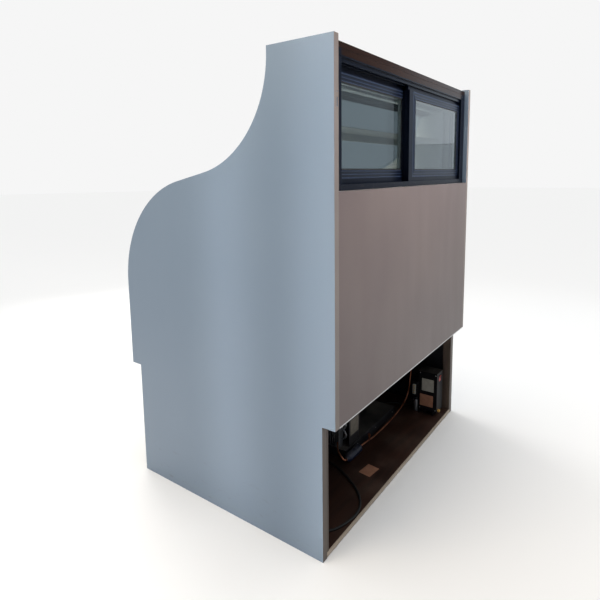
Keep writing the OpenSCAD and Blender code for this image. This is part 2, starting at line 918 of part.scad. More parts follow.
module condenser_coil() {
    depth = coil_x[1] - coil_x[0];
    span = coil_y[1] - coil_y[0];
    groove = 5;
    pitch = 10;
    skin = 8;
    rows = 5;
    row_pitch = 48;
    bend_r = row_pitch / 2;
    color("#b9bec2") difference() {
        translate([coil_x[0], coil_y[0] + 30, unit_z]) cube([depth, span - 60, coil_h]);
        for (y = [coil_y[0] + 36:pitch:coil_y[1] - 40], x = [coil_x[0] - eps, coil_x[1] - skin])
            translate([x, y, unit_z + 6]) cube([skin + eps, groove, coil_h - 12]);
    }
    color("#b87333") for (i = [0:rows - 2], side = [0, 1]) {
        y = side == 0 ? coil_y[0] + 30 : coil_y[1] - 30;
        translate([coil_x[0] + depth / 2, y, unit_z + 38 + row_pitch * i + bend_r])
            rotate([0, 90, 0]) rotate([0, 0, side == 0 ? 180 : 0])
                rotate_extrude(angle = 180) translate([bend_r, 0]) circle(4, $fn = 20);
    }
}

shroud_d = coil_x[0] - shroud_x;

module condenser_shroud() {
    ring_r = cond_fan_r + 8;
    y0 = coil_y[0];
    y1 = coil_y[1] + sheet_t;
    color("#1f2023") difference() {
        translate([shroud_x, y0, unit_z]) cube([shroud_d, y1 - y0, coil_h]);
        translate([shroud_x + sheet_t, y0 + sheet_t, unit_z + sheet_t])
            cube([shroud_d, y1 - y0 - 2 * sheet_t, coil_h - 2 * sheet_t]);
        bar_x(shroud_x - eps, shroud_x + sheet_t + eps, fan_y, fan_z, ring_r);
    }
}

module condenser_motor() {
    body_l = 62;
    body_x = shroud_x - 26 - body_l;
    arm_x = shroud_x - 30;
    reach = cond_fan_r + 20;
    color("#2a2a2c") {
        bar_x(body_x, body_x + body_l, fan_y, fan_z, motor_r);
        bar_x(body_x + body_l - 1, shroud_x + 6, fan_y, fan_z, shaft_r + 1);
        for (a = [90, 210, 330]) translate([arm_x, fan_y, fan_z]) rotate([a, 0, 0]) {
            translate([0, -7, motor_r - 4]) cube([3, 14, reach - motor_r + 4]);
            translate([0, -7, reach - 3]) cube([30, 14, 3]);
        }
    }
}

module condenser_fan() {
    color("#8b8f92") translate([shroud_x - 20, fan_y, fan_z]) rotate([0, 90, 0])
        fan(cond_fan_r, 26, 22, 5, 62, 22, shaft_r + 1 + play);
}

box_x = [-560, -480];
box_y = [345, 445];
box_z = [45, 255];
switch_c = [-520, 222];
switch_w = [22, 30];
switch_pin_r = 1.5;

module control_box() {
    pocket = [switch_w[0] + 1, 10, switch_w[1] + 2];
    color("#1b1c1f") difference() {
        union() {
            translate([box_x[0], box_y[0], box_z[0]])
                cube([box_x[1] - box_x[0], box_y[1] - box_y[0], box_z[1] - box_z[0]]);
            for (y = [box_y[0], box_y[1] - 24])
                translate([box_x[0], y, floor_top])
                    cube([box_x[1] - box_x[0], 3, box_z[0] - floor_top + eps]);
        }
        translate([switch_c[0] - pocket[0] / 2, box_y[1] - pocket[1], switch_c[1] - pocket[2] / 2])
            cube([pocket[0], pocket[1] + eps, pocket[2]]);
        bar_x(switch_c[0] - 16, switch_c[0] + 16, box_y[1] - 5, switch_c[1], switch_pin_r + play);
    }
}

module light_switch() {
    half = switch_w[1] / 2;
    mid_y = box_y[1] - 5;
    color("#b02a25") {
        translate([switch_c[0] - switch_w[0] / 2, 0, 0]) rotate([90, 0, 90])
            linear_extrude(switch_w[0]) polygon([
                [mid_y - 3, switch_c[1] - 5], [mid_y + 3, switch_c[1] - half + 1.5],
                [mid_y + 6, switch_c[1] - half + 1.5], [mid_y + 4, switch_c[1]],
                [mid_y + 9, switch_c[1] + half - 2.5], [mid_y + 6, switch_c[1] + half - 2],
                [mid_y - 3, switch_c[1] + 5]
            ]);
        bar_x(switch_c[0] - 15, switch_c[0] + 15, mid_y, switch_c[1], switch_pin_r);
    }
}

module copper_lines() {
    valve = [-74, 267];
    color("#b87333") {
        sweep(smooth(liquid_route, 3), line_r, 10);
        sweep(smooth(suction_route, 3), line_r + 1, 10);
        sweep(smooth(stub_route, 3), line_r, 10);
        translate([valve[0], valve[1], 33]) cylinder(h = 22, r = 4.5);
        translate([valve[0], valve[1], 55]) cylinder(h = 9, r = 7, $fn = 6);
    }
}

module filter_drier() {
    r = 19;
    mid = [270, 46];
    color("#2d3f63") {
        bar_x(34, 126, mid[0], mid[1], r);
        translate([16, mid[0], mid[1]]) rotate([0, 90, 0]) cylinder(h = 18, r1 = 7, r2 = r);
        translate([126, mid[0], mid[1]]) rotate([0, 90, 0]) cylinder(h = 18, r1 = r, r2 = 7);
    }
}

module cord_gland() {
    color("#141414") {
        bar_x(unit_x1 - 4, unit_x1 + 1, cord_y, gland_z, 7);
        translate([unit_x1, cord_y, gland_z]) rotate([0, 90, 0]) cylinder(h = 8, r = 11, $fn = 6);
        translate([unit_x1 + 8, cord_y, gland_z]) rotate([0, 90, 0])
            cylinder(h = gland_l - 8, r1 = 9, r2 = 6);
    }
}

module power_cord() {
    color("#161616") {
        sweep(cord_route, cord_r, 10);
        sweep(tail_route, cord_r, 10);
    }
}

module cord_coil() {
    color("#161616") translate([coil_c[0], coil_c[1], floor_top])
        rotate_extrude() translate([coil_in, 0]) square([coil_out - coil_in, coil_hh]);
}

module plug() {
    end = tail_route[2];
    body = [30, 46, 26];
    color("#161616") {
        translate([end[0] - body[0] / 2, end[1] - body[1], end[2] - body[2] / 2]) cube(body);
        for (s = [-1, 1])
            translate([end[0] + s * 6.3 - 0.8, end[1] - body[1] - 17, end[2] - 1])
                cube([1.6, 17.5, 6.4]);
        translate([end[0], end[1] - body[1] + 0.5, end[2] - 7]) rotate([90, 0, 0])
            cylinder(h = 20, r = 2.4);
    }
}

end_panel_left();
end_panel_right();
base_floor();
base_edge_trim();
base_sockets();
base_uprights();
kick_panel();
rear_panel();
back_wall();
tub_floor();
front_wall();
front_fascia();
bumper();
sill_cap();
front_glass();
return_grille();
deck_pans();
duct_panel();
liner_left();
liner_right();
top_board();
canopy_shell();
air_honeycomb();
lamp_housing();
lamp_lens();
shelf_lower();
shelf_upper();
shelf_top();
shelf_brackets();
shelf_standards();
price_rails();
evaporator_fins();
evaporator_tubes();
fan_plenum();
evaporator_motors();
evaporator_fan_left();
evaporator_fan_right();
frame_head();
frame_sill();
frame_jambs();
outer_sash();
outer_glass();
outer_spacer();
inner_sash();
inner_glass();
inner_spacer();
unit_base();
compressor();
condenser_coil();
condenser_shroud();
condenser_motor();
condenser_fan();
control_box();
light_switch();
copper_lines();
filter_drier();
cord_gland();
power_cord();
cord_coil();
plug();
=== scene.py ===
import json
import math
import bpy
from mathutils import Matrix, Vector

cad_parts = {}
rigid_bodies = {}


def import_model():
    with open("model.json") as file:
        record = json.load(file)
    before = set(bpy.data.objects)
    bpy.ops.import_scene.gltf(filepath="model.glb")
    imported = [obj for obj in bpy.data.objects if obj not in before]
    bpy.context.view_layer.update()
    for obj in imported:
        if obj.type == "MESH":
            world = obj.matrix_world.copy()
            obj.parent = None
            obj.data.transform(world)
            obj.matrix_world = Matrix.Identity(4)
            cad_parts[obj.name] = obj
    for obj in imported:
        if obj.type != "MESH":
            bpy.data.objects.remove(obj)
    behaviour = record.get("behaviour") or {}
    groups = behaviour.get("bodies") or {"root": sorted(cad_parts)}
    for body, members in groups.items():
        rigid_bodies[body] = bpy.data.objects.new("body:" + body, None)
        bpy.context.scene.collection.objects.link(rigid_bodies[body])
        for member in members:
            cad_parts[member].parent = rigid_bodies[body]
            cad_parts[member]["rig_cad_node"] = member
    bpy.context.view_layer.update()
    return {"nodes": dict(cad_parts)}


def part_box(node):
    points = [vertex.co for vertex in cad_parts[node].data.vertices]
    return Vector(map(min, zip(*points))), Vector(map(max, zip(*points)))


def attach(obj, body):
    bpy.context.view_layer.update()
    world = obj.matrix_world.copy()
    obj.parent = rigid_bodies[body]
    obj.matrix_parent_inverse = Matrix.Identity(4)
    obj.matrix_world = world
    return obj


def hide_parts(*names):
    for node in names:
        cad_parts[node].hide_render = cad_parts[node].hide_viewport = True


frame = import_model()

# Camera. It stands behind the case, off its right rear corner, at chest height, and looks a little down. The
# tall end panel, the back with its two sliding doors and the open machine bay are all seen.
heading = math.radians(215.352)
dip = math.radians(7.603)
lean = math.radians(-0.660)
ahead = Vector((math.cos(heading) * math.cos(dip), math.sin(heading) * math.cos(dip), -math.sin(dip)))
level = Vector((math.sin(heading), -math.cos(heading), 0))
upright = level.cross(ahead)
to_right = level * math.cos(lean) + upright * math.sin(lean)
upward = to_right.cross(ahead)
camera_lens = bpy.data.cameras.new("studio_camera")
camera_lens.lens = 29.126
camera_lens.sensor_width = 36
camera_lens.shift_x = -0.0110
camera_lens.shift_y = -0.1028
camera = bpy.data.objects.new("studio_camera", camera_lens)
bpy.context.collection.objects.link(camera)
camera.matrix_world = Matrix.Translation((1.855, 1.284, 1.292)) @ Matrix(
    (to_right, upward, -ahead)).transposed().to_4x4()
bpy.context.scene.camera = camera

# Studio. A wide pale floor, an even pale surround and a broad glow from above. A warm softbox and two narrow
# strips light the right end. Others light the back, the doors, the top and the front.
bpy.context.scene.view_settings.view_transform = "Standard"
surround = bpy.data.worlds.new("pale_surround")
surround.use_nodes = True
glow = surround.node_tree.nodes["Background"]
glow.inputs["Color"].default_value = (0.80, 0.89, 1.0, 1)
glow.inputs["Strength"].default_value = 0.36
backdrop = surround.node_tree.nodes.new("ShaderNodeBackground")
backdrop.inputs["Color"].default_value = (0.97, 0.97, 0.97, 1)
backdrop.inputs["Strength"].default_value = 0.95
sight = surround.node_tree.nodes.new("ShaderNodeLightPath")
chosen = surround.node_tree.nodes.new("ShaderNodeMixShader")
world_output = surround.node_tree.nodes["World Output"]
for source, socket in ((sight.outputs["Is Camera Ray"], chosen.inputs[0]),
                       (glow.outputs[0], chosen.inputs[1]),
                       (backdrop.outputs[0], chosen.inputs[2]),
                       (chosen.outputs[0], world_output.inputs["Surface"])):
    surround.node_tree.links.new(source, socket)
bpy.context.scene.world = surround
bpy.ops.object.select_all(action="DESELECT")
bpy.ops.mesh.primitive_circle_add(vertices=96, radius=40, fill_type="NGON", location=(0, 0, 0))
floor = bpy.context.active_object
floor.name = "studio_floor"
floor_paint = bpy.data.materials.new("pale_floor")
floor_paint.use_nodes = True
floor_shader = floor_paint.node_tree.nodes["Principled BSDF"]
floor_shader.inputs["Base Color"].default_value = (0.95, 0.94, 0.93, 1)
floor_shader.inputs["Roughness"].default_value = 0.9
floor_shader.inputs["Specular IOR Level"].default_value = 0.0
floor.data.materials.append(floor_paint)


def softbox(name, place, aim, wide, tall, power, tint, spread=180):
    lamp = bpy.data.lights.new(name, "AREA")
    lamp.shape = "RECTANGLE"
    lamp.size = wide
    lamp.size_y = tall
    lamp.energy = power
    lamp.color = tint
    lamp.spread = math.radians(spread)
    stand = bpy.data.objects.new(name, lamp)
    bpy.context.collection.objects.link(stand)
    turn = (Vector(aim) - Vector(place)).to_track_quat("-Z", "Y")
    stand.matrix_world = Matrix.Translation(place) @ turn.to_matrix().to_4x4()
    stand.visible_camera = False
    stand.visible_transmission = False


overhead = bpy.data.lights.new("ceiling_glow", "SUN")
overhead.energy = 2.05
overhead.angle = math.radians(70)
overhead.color = (1.0, 0.97, 0.92)
ceiling = bpy.data.objects.new("ceiling_glow", overhead)
bpy.context.collection.objects.link(ceiling)
softbox("end_softbox", (1.5, 0.0, 2.6), (0.63, 0.2, 1.75), 0.8, 0.8, 16, (1.0, 0.85, 0.65))
for strip_y, strip_wide, strip_power in ((0.06, 0.16, 0.42), (0.50, 0.12, 0.62)):
    strip_place = (2.3, strip_y, 0.95)
    strip_aim = (0.63, strip_y, 0.95)
    softbox("end_strip", strip_place, strip_aim, strip_wide, 2.1, strip_power, (1.0, 0.92, 0.84), 14)
softbox("back_softbox", (-0.3, 2.6, 2.2), (-0.1, 0.52, 1.6), 1.8, 0.5, 9, (1.0, 0.92, 0.88), 50)
softbox("door_softbox", (-3.6, 1.55, 2.1), (-0.3, 0.47, 1.4), 1.0, 1.0, 3.4, (0.84, 0.93, 1.0))
softbox("low_door_softbox", (-3.6, 1.55, 1.34), (-0.3, 0.47, 1.4), 1.0, 0.52, 0.9, (0.80, 0.91, 1.0))
softbox("top_softbox", (0.2, -0.6, 3.6), (0, 0, 1.2), 2.6, 2.6, 8, (1.0, 1.0, 1.0))
softbox("front_softbox", (-1.6, -4.0, 2.0), (0, -0.5, 0.9), 2.4, 2.0, 30, (1.0, 0.98, 0.95), 100)


# Power lead. A 9 mm black mains lead of 2.5 m, jacketed in soft vinyl. It leaves the right side of the unit's
# tray through a tapered gland and swings across the floor board. Its spare length is coiled behind the panel.
class Link:
    """One output of a finish's nodes, which can be added, scaled and compared like a number."""

    def __init__(self, finish, socket):
        self.finish = finish
        self.socket = socket

    def worked_out(self, operation, first, second):
        return self.finish.node("ShaderNodeMath", {"operation": operation}, {0: first, 1: second})

    def __add__(self, other):
        return self.worked_out("ADD", self, other)

    def __radd__(self, other):
        return self.worked_out("ADD", other, self)

    def __sub__(self, other):
        return self.worked_out("SUBTRACT", self, other)

    def __rsub__(self, other):
        return self.worked_out("SUBTRACT", other, self)

    def __mul__(self, other):
        return self.worked_out("MULTIPLY", self, other)

    def __rmul__(self, other):
        return self.worked_out("MULTIPLY", other, self)

    def __gt__(self, other):
        return self.worked_out("GREATER_THAN", self, other)

    def __lt__(self, other):
        return self.worked_out("LESS_THAN", self, other)

    def __abs__(self):
        return self.worked_out("ABSOLUTE", self, 0)

    def __mod__(self, other):
        return self.worked_out("FLOORED_MODULO", self, other)


class Finish:
    """One material, built up as a finisher would: a ground, then grain, marks and relief."""

    def __init__(self, name, fixed):
        self.material = bpy.data.materials.new(name)
        self.material.use_nodes = True
        self.tree = self.material.node_tree
        self.shader = self.tree.nodes["Principled BSDF"]
        for socket, value in fixed.items():
            self.shader.inputs[socket].default_value = value

    def node(self, kind, settings=None, inputs=None, output=0):
        made = self.tree.nodes.new(kind)
        for setting, value in (settings or {}).items():
            setattr(made, setting, value)
        for socket, value in (inputs or {}).items():
            if isinstance(value, Link):
                self.tree.links.new(value.socket, made.inputs[socket])
            else:
                made.inputs[socket].default_value = value
        return Link(self, made.outputs[output])

    def place(self, stretch=(1, 1, 1)):
        where = self.node("ShaderNodeTexCoord", output="Object")
        return self.node("ShaderNodeMapping", {}, {"Vector": where, "Scale": stretch})

    def noise(self, scale, detail=3, stretch=(1, 1, 1)):
        settings = {"Vector": self.place(stretch), "Scale": scale, "Detail": detail}
        return self.node("ShaderNodeTexNoise", {}, settings)

    def along(self, axis, where=None):
        """How far a point lies along one axis of the piece. The axes X, Y and Z are 0, 1 and 2."""
        if where is None:
            where = self.place()
        return self.node("ShaderNodeSeparateXYZ", {}, {"Vector": where}, axis)

    def band(self, value, low, high, to_low=0, to_high=1):
        ends = {"Value": value, "From Min": low, "From Max": high, "To Min": to_low, "To Max": to_high}
        return self.node("ShaderNodeMapRange", {}, ends)

    def blend(self, share, first, second):
        return self.node("ShaderNodeMix", {"data_type": "RGBA"}, {0: share, 6: first, 7: second}, 2)

    def relief(self, height, depth, strength=1.0):
        sizes = {"Height": height, "Distance": depth, "Strength": strength}
        self.feed("Normal", self.node("ShaderNodeBump", {}, sizes))

    def feed(self, socket, link):
        self.tree.links.new(link.socket, self.shader.inputs[socket])

    def cover(self, *names):
        for name in names:
            for holder in frame["nodes"][name].material_slots:
                holder.material = self.material


def shade(red, green, blue):
    channels = [c / 255 for c in (red, green, blue)]
    return [c / 12.92 if c < 0.04045 else ((c + 0.055) / 1.055) ** 2.4 for c in channels] + [1]


def soft_black(name, dark, worn, roughness):
    finish = Finish(name, {"Specular IOR Level": 0.4})
    cloud = finish.noise(30, 4)
    grain = finish.noise(1400, 2)
    finish.feed("Base Color", finish.blend(finish.band(cloud, 0.45, 0.75), dark, worn))
    finish.feed("Roughness", cloud * 0.2 + (roughness - 0.1))
    finish.relief(grain, 0.0001, 0.5)
    return finish


lead_diameter = 0.009
lead_gland = [0.132, 0.040, 0.042]
lead_route = [
    lead_gland, (0.152, 0.042, 0.041), (0.169, 0.052, 0.037), (0.180, 0.070, 0.032),
    (0.184, 0.093, 0.028), (0.182, 0.117, 0.026), (0.178, 0.141, 0.026), (0.174, 0.165, 0.026),
    (0.172, 0.188, 0.026), (0.174, 0.211, 0.026), (0.180, 0.234, 0.026), (0.189, 0.257, 0.026),
    (0.200, 0.280, 0.026), (0.212, 0.303, 0.026), (0.225, 0.326, 0.026), (0.239, 0.349, 0.026),
    (0.254, 0.371, 0.026), (0.270, 0.391, 0.026), (0.288, 0.410, 0.026), (0.308, 0.428, 0.026),
    (0.330, 0.443, 0.026), (0.354, 0.455, 0.026), (0.380, 0.461, 0.026), (0.406, 0.463, 0.026),
    (0.432, 0.460, 0.026), (0.458, 0.455, 0.026), (0.483, 0.448, 0.026), (0.507, 0.438, 0.026),
    (0.528, 0.424, 0.026), (0.544, 0.405, 0.026), (0.554, 0.382, 0.026), (0.559, 0.357, 0.026),
    (0.561, 0.330, 0.026),
]
coil_x = 0.500
coil_y = 0.300
coil_radius = 0.061
lead_height = 0.026
turns_per_layer = 2.5
steps_per_turn = 20
climb_rate = 9
coil_points = []
for step in range(int(2 * turns_per_layer * steps_per_turn) + 1):
    turns = step / steps_per_turn
    inward = min(turns, 2 * turns_per_layer - turns)
    radius = coil_radius - lead_diameter * inward
    lift = 0.5 + 0.5 * math.tanh((turns - turns_per_layer) * climb_rate)
    angle = -2 * math.pi * turns
    coil_points.append((coil_x + radius * math.cos(angle), coil_y + radius * math.sin(angle),
                        lead_height + lead_diameter * lift))
lead_tail = [(0.561, 0.272, 0.035), (0.561, 0.251, 0.034), (0.561, 0.230, 0.034)]
lead_points = lead_route + coil_points + lead_tail
lead_curve = bpy.data.curves.new("power_lead", "CURVE")
lead_curve.dimensions = "3D"
lead_curve.bevel_depth = lead_diameter / 2
lead_curve.bevel_resolution = 3
lead_curve.use_fill_caps = True
lead_line = lead_curve.splines.new("POLY")
lead_line.points.add(len(lead_points) - 1)
for point, spot in zip(lead_line.points, lead_points):
    point.co = (*spot, 1)
lead_line.use_smooth = True
power_lead = bpy.data.objects.new("power_lead", lead_curve)
bpy.context.collection.objects.link(power_lead)
jacket = soft_black("lead_jacket", shade(11, 11, 12), shade(21, 20, 20), 0.6)
lead_curve.materials.append(jacket.material)
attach(power_lead, "case")
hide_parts("power_cord", "cord_coil")
moulding = soft_black("moulded_plug_black", shade(24, 24, 26), shade(38, 38, 38), 0.42)
moulding.cover("plug", "cord_gland")


# Base floor board. An 18 mm board faced in dark brown film, screwed up against the end panels' feet, with a
# pale edging strip glued along its rear edge. Four zinc-plated stem sockets are pressed up into it.
def pick(*pieces):
    """Selects these pieces and nothing else, and makes the first one active."""
    bpy.ops.object.select_all(action="DESELECT")
    for piece in pieces:
        piece.select_set(True)
    bpy.context.view_layer.objects.active = pieces[0]


def dressed(node, body, easing, steps=2, smooth_to=24):
    """A copy of a built node with its sharp edges eased, which stands for the node. Wide faces stay flat."""
    same_spot = 0.00001
    widest_smooth_face = 0.004
    most_smooth_corners = 6
    pick(frame["nodes"][node])
    bpy.ops.object.duplicate()
    piece = bpy.context.active_object
    piece.name = node + "_finished"
    del piece["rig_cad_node"]
    bpy.ops.object.mode_set(mode="EDIT")
    bpy.ops.mesh.select_all(action="SELECT")
    bpy.ops.mesh.remove_doubles(threshold=same_spot)
    bpy.ops.mesh.dissolve_limited(angle_limit=math.radians(0.4))
    bpy.ops.object.mode_set(mode="OBJECT")
    ease = piece.modifiers.new("eased_edges", "BEVEL")
    ease.width = easing
    ease.segments = steps
    ease.limit_method = "ANGLE"
    ease.angle_limit = math.radians(38)
    ease.use_clamp_overlap = True
    bpy.ops.object.modifier_apply(modifier="eased_edges")
    bpy.ops.object.mode_set(mode="EDIT")
    bpy.ops.mesh.select_all(action="SELECT")
    bpy.ops.mesh.dissolve_degenerate(threshold=same_spot)
    bpy.ops.object.mode_set(mode="OBJECT")
    bpy.ops.object.shade_smooth_by_angle(angle=math.radians(smooth_to))
    for face in piece.data.polygons:
        if len(face.vertices) > most_smooth_corners or face.area > widest_smooth_face:
            face.use_smooth = False
    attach(piece, body)
    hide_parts(node)
    return piece


def wear_finish(piece, finish):
    for holder in piece.material_slots:
        holder.material = finish.material
    if not piece.material_slots:
        piece.data.materials.append(finish.material)


def fitted(piece, finish, body):
    """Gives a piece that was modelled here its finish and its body."""
    wear_finish(piece, finish)
    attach(piece, body)


def faced_board(name, dark, pale, roughness, grain_scale, fixed):
    finish = Finish(name, fixed)
    cloud = finish.noise(3.1, 3)
    fleck = finish.noise(grain_scale, 3)
    wiped = finish.noise(14, 4, (1, 1, 0.15))
    tone = cloud * 0.6 + fleck * 0.4
    finish.feed("Base Color", finish.blend(finish.band(tone, 0.35, 0.65), dark, pale))
    finish.feed("Roughness", wiped * 0.14 + (roughness - 0.07))
    finish.relief(fleck, 0.00025, 0.35)
    return finish


film_face = Finish("brown_film_face", {"Specular IOR Level": 0.35})
film_grain = film_face.noise(42, 5, (0.12, 1, 1))
film_dust = film_face.noise(7, 5)
film_speck = film_face.noise(520, 2)
film_tone = film_face.blend(film_face.band(film_grain, 0.3, 0.7), shade(36, 20, 13), shade(56, 32, 22))
dust_share = film_face.band(film_dust * 0.75 + film_speck * 0.25, 0.5, 0.72, 0, 0.25)
film_face.feed("Base Color", film_face.blend(dust_share, film_tone, shade(116, 98, 84)))
film_face.feed("Roughness", film_dust * 0.3 + 0.38)
film_face.relief(film_grain * 0.7 + film_speck * 0.3, 0.0004, 0.4)
wear_finish(dressed("base_floor", "case", 0.0008), film_face)
edging = faced_board("pale_edging", shade(150, 134, 116), shade(176, 160, 142), 0.5, 420, {})
wear_finish(dressed("base_edge_trim", "case", 0.0005), edging)
bare_metal = {"Metallic": 1.0}
zinc = Finish("zinc_plate", bare_metal)
zinc_crystals = zinc.node("ShaderNodeTexVoronoi", {}, {"Vector": zinc.place(), "Scale": 160}, 1)
zinc_flake = zinc.along(0, zinc_crystals)
zinc_stain = zinc.noise(11, 4)
zinc_tone = zinc_flake * 0.5 + zinc_stain * 0.5
zinc.feed("Base Color", zinc.blend(zinc_tone, shade(140, 142, 144), shade(196, 198, 200)))
zinc.feed("Roughness", zinc_flake * 0.16 + zinc_stain * 0.16 + 0.24)
zinc.relief(zinc.noise(240, 3), 0.0001, 0.3)
zinc.cover("base_sockets")

# Base uprights. Two narrow boards stand on the floor board just inside the end panels' rear edges. They are
# faced in a laminate a little darker than the back's, and carry the corner of the tub floor.
upright_face = faced_board("brown_grey_laminate", shade(60, 48, 40), shade(78, 64, 54), 0.46, 900,
                           {"Specular IOR Level": 0.4})
wear_finish(dressed("base_uprights", "case", 0.0008), upright_face)


# Condensing unit tray. A folded steel tray, powder coated black and bolted to the floor board, carries the
# compressor, the condenser and its shroud. A row of pop rivets runs along its rear flange.
def powder_coat(name, colour, worn, roughness, dust_colour, dust_share, fixed=None):
    finish = Finish(name, fixed or {"Specular IOR Level": 0.45})
    peel = finish.noise(950, 2)
    cloud = finish.noise(9, 5)
    speck = finish.noise(300, 3)
    ground = finish.blend(finish.band(cloud, 0.4, 0.7), colour, worn)
    facing_up = finish.along(2, finish.node("ShaderNodeNewGeometry", output="Normal"))
    settled = finish.band(facing_up, 0.4, 0.95) * finish.band(cloud * 0.6 + speck * 0.4, 0.38, 0.62)
    finish.feed("Base Color", finish.blend(settled * dust_share, ground, dust_colour))
    finish.feed("Roughness", cloud * 0.18 + settled * 0.25 + (roughness - 0.09))
    finish.relief(peel, 0.00012, 0.5)
    return finish


grey_dust = shade(120, 112, 102)
black_coat = powder_coat("black_powder_coat", shade(22, 22, 25), shade(36, 35, 37), 0.42, grey_dust, 0.5)
wear_finish(dressed("unit_base", "case", 0.0012), black_coat)


def turned(name, rings, sides=48):
    """A round piece, drawn out from a disc ring by ring along Z. A ring is its radius and its height."""
    radius, height = rings[0]
    bpy.ops.object.select_all(action="DESELECT")
    middle = (0, 0, height)
    bpy.ops.mesh.primitive_circle_add(vertices=sides, radius=radius, fill_type="NGON", location=middle)
    piece = bpy.context.active_object
    piece.name = name
    bpy.ops.object.transform_apply(location=True)
    bpy.ops.object.mode_set(mode="EDIT")
    bpy.ops.mesh.select_mode(type="FACE")
    bpy.ops.mesh.select_all(action="SELECT")
    for next_radius, next_height in rings[1:]:
        rise = (0, 0, next_height - height)
        bpy.ops.mesh.extrude_region_move(TRANSFORM_OT_translate={"value": rise})
        grow = next_radius / radius
        bpy.ops.transform.resize(value=(grow, grow, 1), center_override=(0, 0, next_height))
        radius = next_radius
        height = next_height
    bpy.ops.mesh.select_all(action="SELECT")
    bpy.ops.mesh.normals_make_consistent(inside=False)
    bpy.ops.object.mode_set(mode="OBJECT")
    bpy.ops.object.shade_smooth_by_angle(angle=math.radians(33))
    return piece


def set_down(piece, spot, facing="Z"):
    """Puts a finished piece at its spot, with its Z axis along the given way, and fixes that in its mesh."""
    turns = {"Z": (0, 0, 0), "X": (0, 90, 0), "-X": (0, -90, 0), "Y": (-90, 0, 0), "-Y": (90, 0, 0),
             "-Z": (180, 0, 0)}
    pick(piece)
    piece.rotation_euler = [math.radians(a) for a in turns[facing]]
    piece.location = spot
    bpy.ops.object.transform_apply(location=True, rotation=True, scale=True)
    return piece


def joined(name, pieces):
    pick(*pieces)
    if len(pieces) > 1:
        bpy.ops.object.join()
    pieces[0].name = name
    pieces[0].data.name = name
    return pieces[0]


def rivets(name, spots, facing, body, finish, radius=0.0036):
    rings = [(radius, -0.0004), (radius, 0.0003), (radius * 0.86, 0.0010), (radius * 0.5, 0.0014),
             (radius * 0.36, 0.0014), (radius * 0.3, 0.0009)]
    heads = [set_down(turned(name, rings, 14), spot, facing) for spot in spots]
    fitted(joined(name, heads), finish, body)


def grained(name, fixed, grain, dark, pale, dull_by, gloss, depth=None):
    """A finish whose colour and gloss follow one grain, which is given by its scale, detail and stretch."""
    finish = Finish(name, fixed)
    mark = finish.noise(*grain)
    finish.feed("Base Color", finish.blend(mark, dark, pale))
    finish.feed("Roughness", mark * dull_by + gloss)
    if depth:
        finish.relief(mark, depth, 0.3)
    return finish


bright_steel = grained("bright_rivet_steel", bare_metal, (600, 3), shade(150, 150, 150),
                       shade(205, 205, 203), 0.25, 0.25)
tray_low, tray_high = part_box("unit_base")
tray_spots = [(x, tray_high.y, tray_low.z + 0.02) for x in (-0.37, -0.18, 0.0, 0.085)]
rivets("tray_rivets", tray_spots, "Y", "case", bright_steel)

# Compressor. A hermetic steel shell in two pressed halves, welded round the waist and enamelled black. It
# stands on rubber feet, and a clipped cover on its front hides the terminals.
enamel = soft_black("black_enamel", shade(18, 18, 20), shade(40, 38, 36), 0.34)
shell_rings = [(0.050, 0.0), (0.070, 0.004), (0.083, 0.016), (0.0855, 0.034), (0.0855, 0.096),
               (0.0880, 0.0965), (0.0880, 0.1035), (0.0855, 0.104), (0.0850, 0.130), (0.0800, 0.148),
               (0.0690, 0.162), (0.0520, 0.171), (0.0300, 0.1755), (0.0080, 0.1760)]
foot_rings = [(0.0125, 0.0), (0.0130, 0.002), (0.0110, 0.005), (0.0110, 0.007), (0.0125, 0.010),
              (0.0120, 0.012)]
nut_rings = [(0.0085, 0.0), (0.0085, 0.0055), (0.0070, 0.0068)]
shell_x = -0.260
shell_y = 0.040
feet_base = 0.060
plate_base = 0.072
plate_top = 0.075
shell = set_down(turned("compressor_shell", shell_rings, 64), (shell_x, shell_y, plate_top))
feet = []
for x in (shell_x - 0.084, shell_x + 0.084):
    for y in (shell_y - 0.074, shell_y + 0.074):
        feet.append(set_down(turned("compressor_foot", foot_rings, 24), (x, y, feet_base)))
        feet.append(set_down(turned("compressor_nut", nut_rings, 6), (x, y, plate_top)))


def block(name, low, high, easing, steps=2):
    """A pressed or moulded box, made from a cube that is set to its corners and eased all round."""
    bpy.ops.object.select_all(action="DESELECT")
    middle = [(a + b) / 2 for a, b in zip(low, high)]
    bpy.ops.mesh.primitive_cube_add(size=1, location=middle)
    piece = bpy.context.active_object
    piece.name = name
    piece.scale = [b - a for a, b in zip(low, high)]
    bpy.ops.object.transform_apply(location=True, rotation=True, scale=True)
    bpy.ops.object.mode_set(mode="EDIT")
    bpy.ops.mesh.select_mode(type="EDGE")
    bpy.ops.mesh.select_all(action="SELECT")
    bpy.ops.mesh.bevel(offset=easing, segments=steps, affect="EDGES")
    bpy.ops.object.mode_set(mode="OBJECT")
    bpy.ops.object.shade_smooth_by_angle(angle=math.radians(33))
    return piece


mount_plate = block("compressor_plate", (-0.360, -0.050, plate_base), (-0.160, 0.130, plate_top), 0.001)
terminal_cover = block("terminal_cover", (-0.290, -0.074, 0.126), (-0.230, -0.034, 0.184), 0.004, 3)
cover_clip = block("terminal_clip", (-0.264, -0.0755, 0.124), (-0.256, -0.0725, 0.186), 0.0006)
compressor = joined("compressor_built", [shell, mount_plate, terminal_cover, cover_clip] + feet)
fitted(compressor, enamel, "case")
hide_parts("compressor")

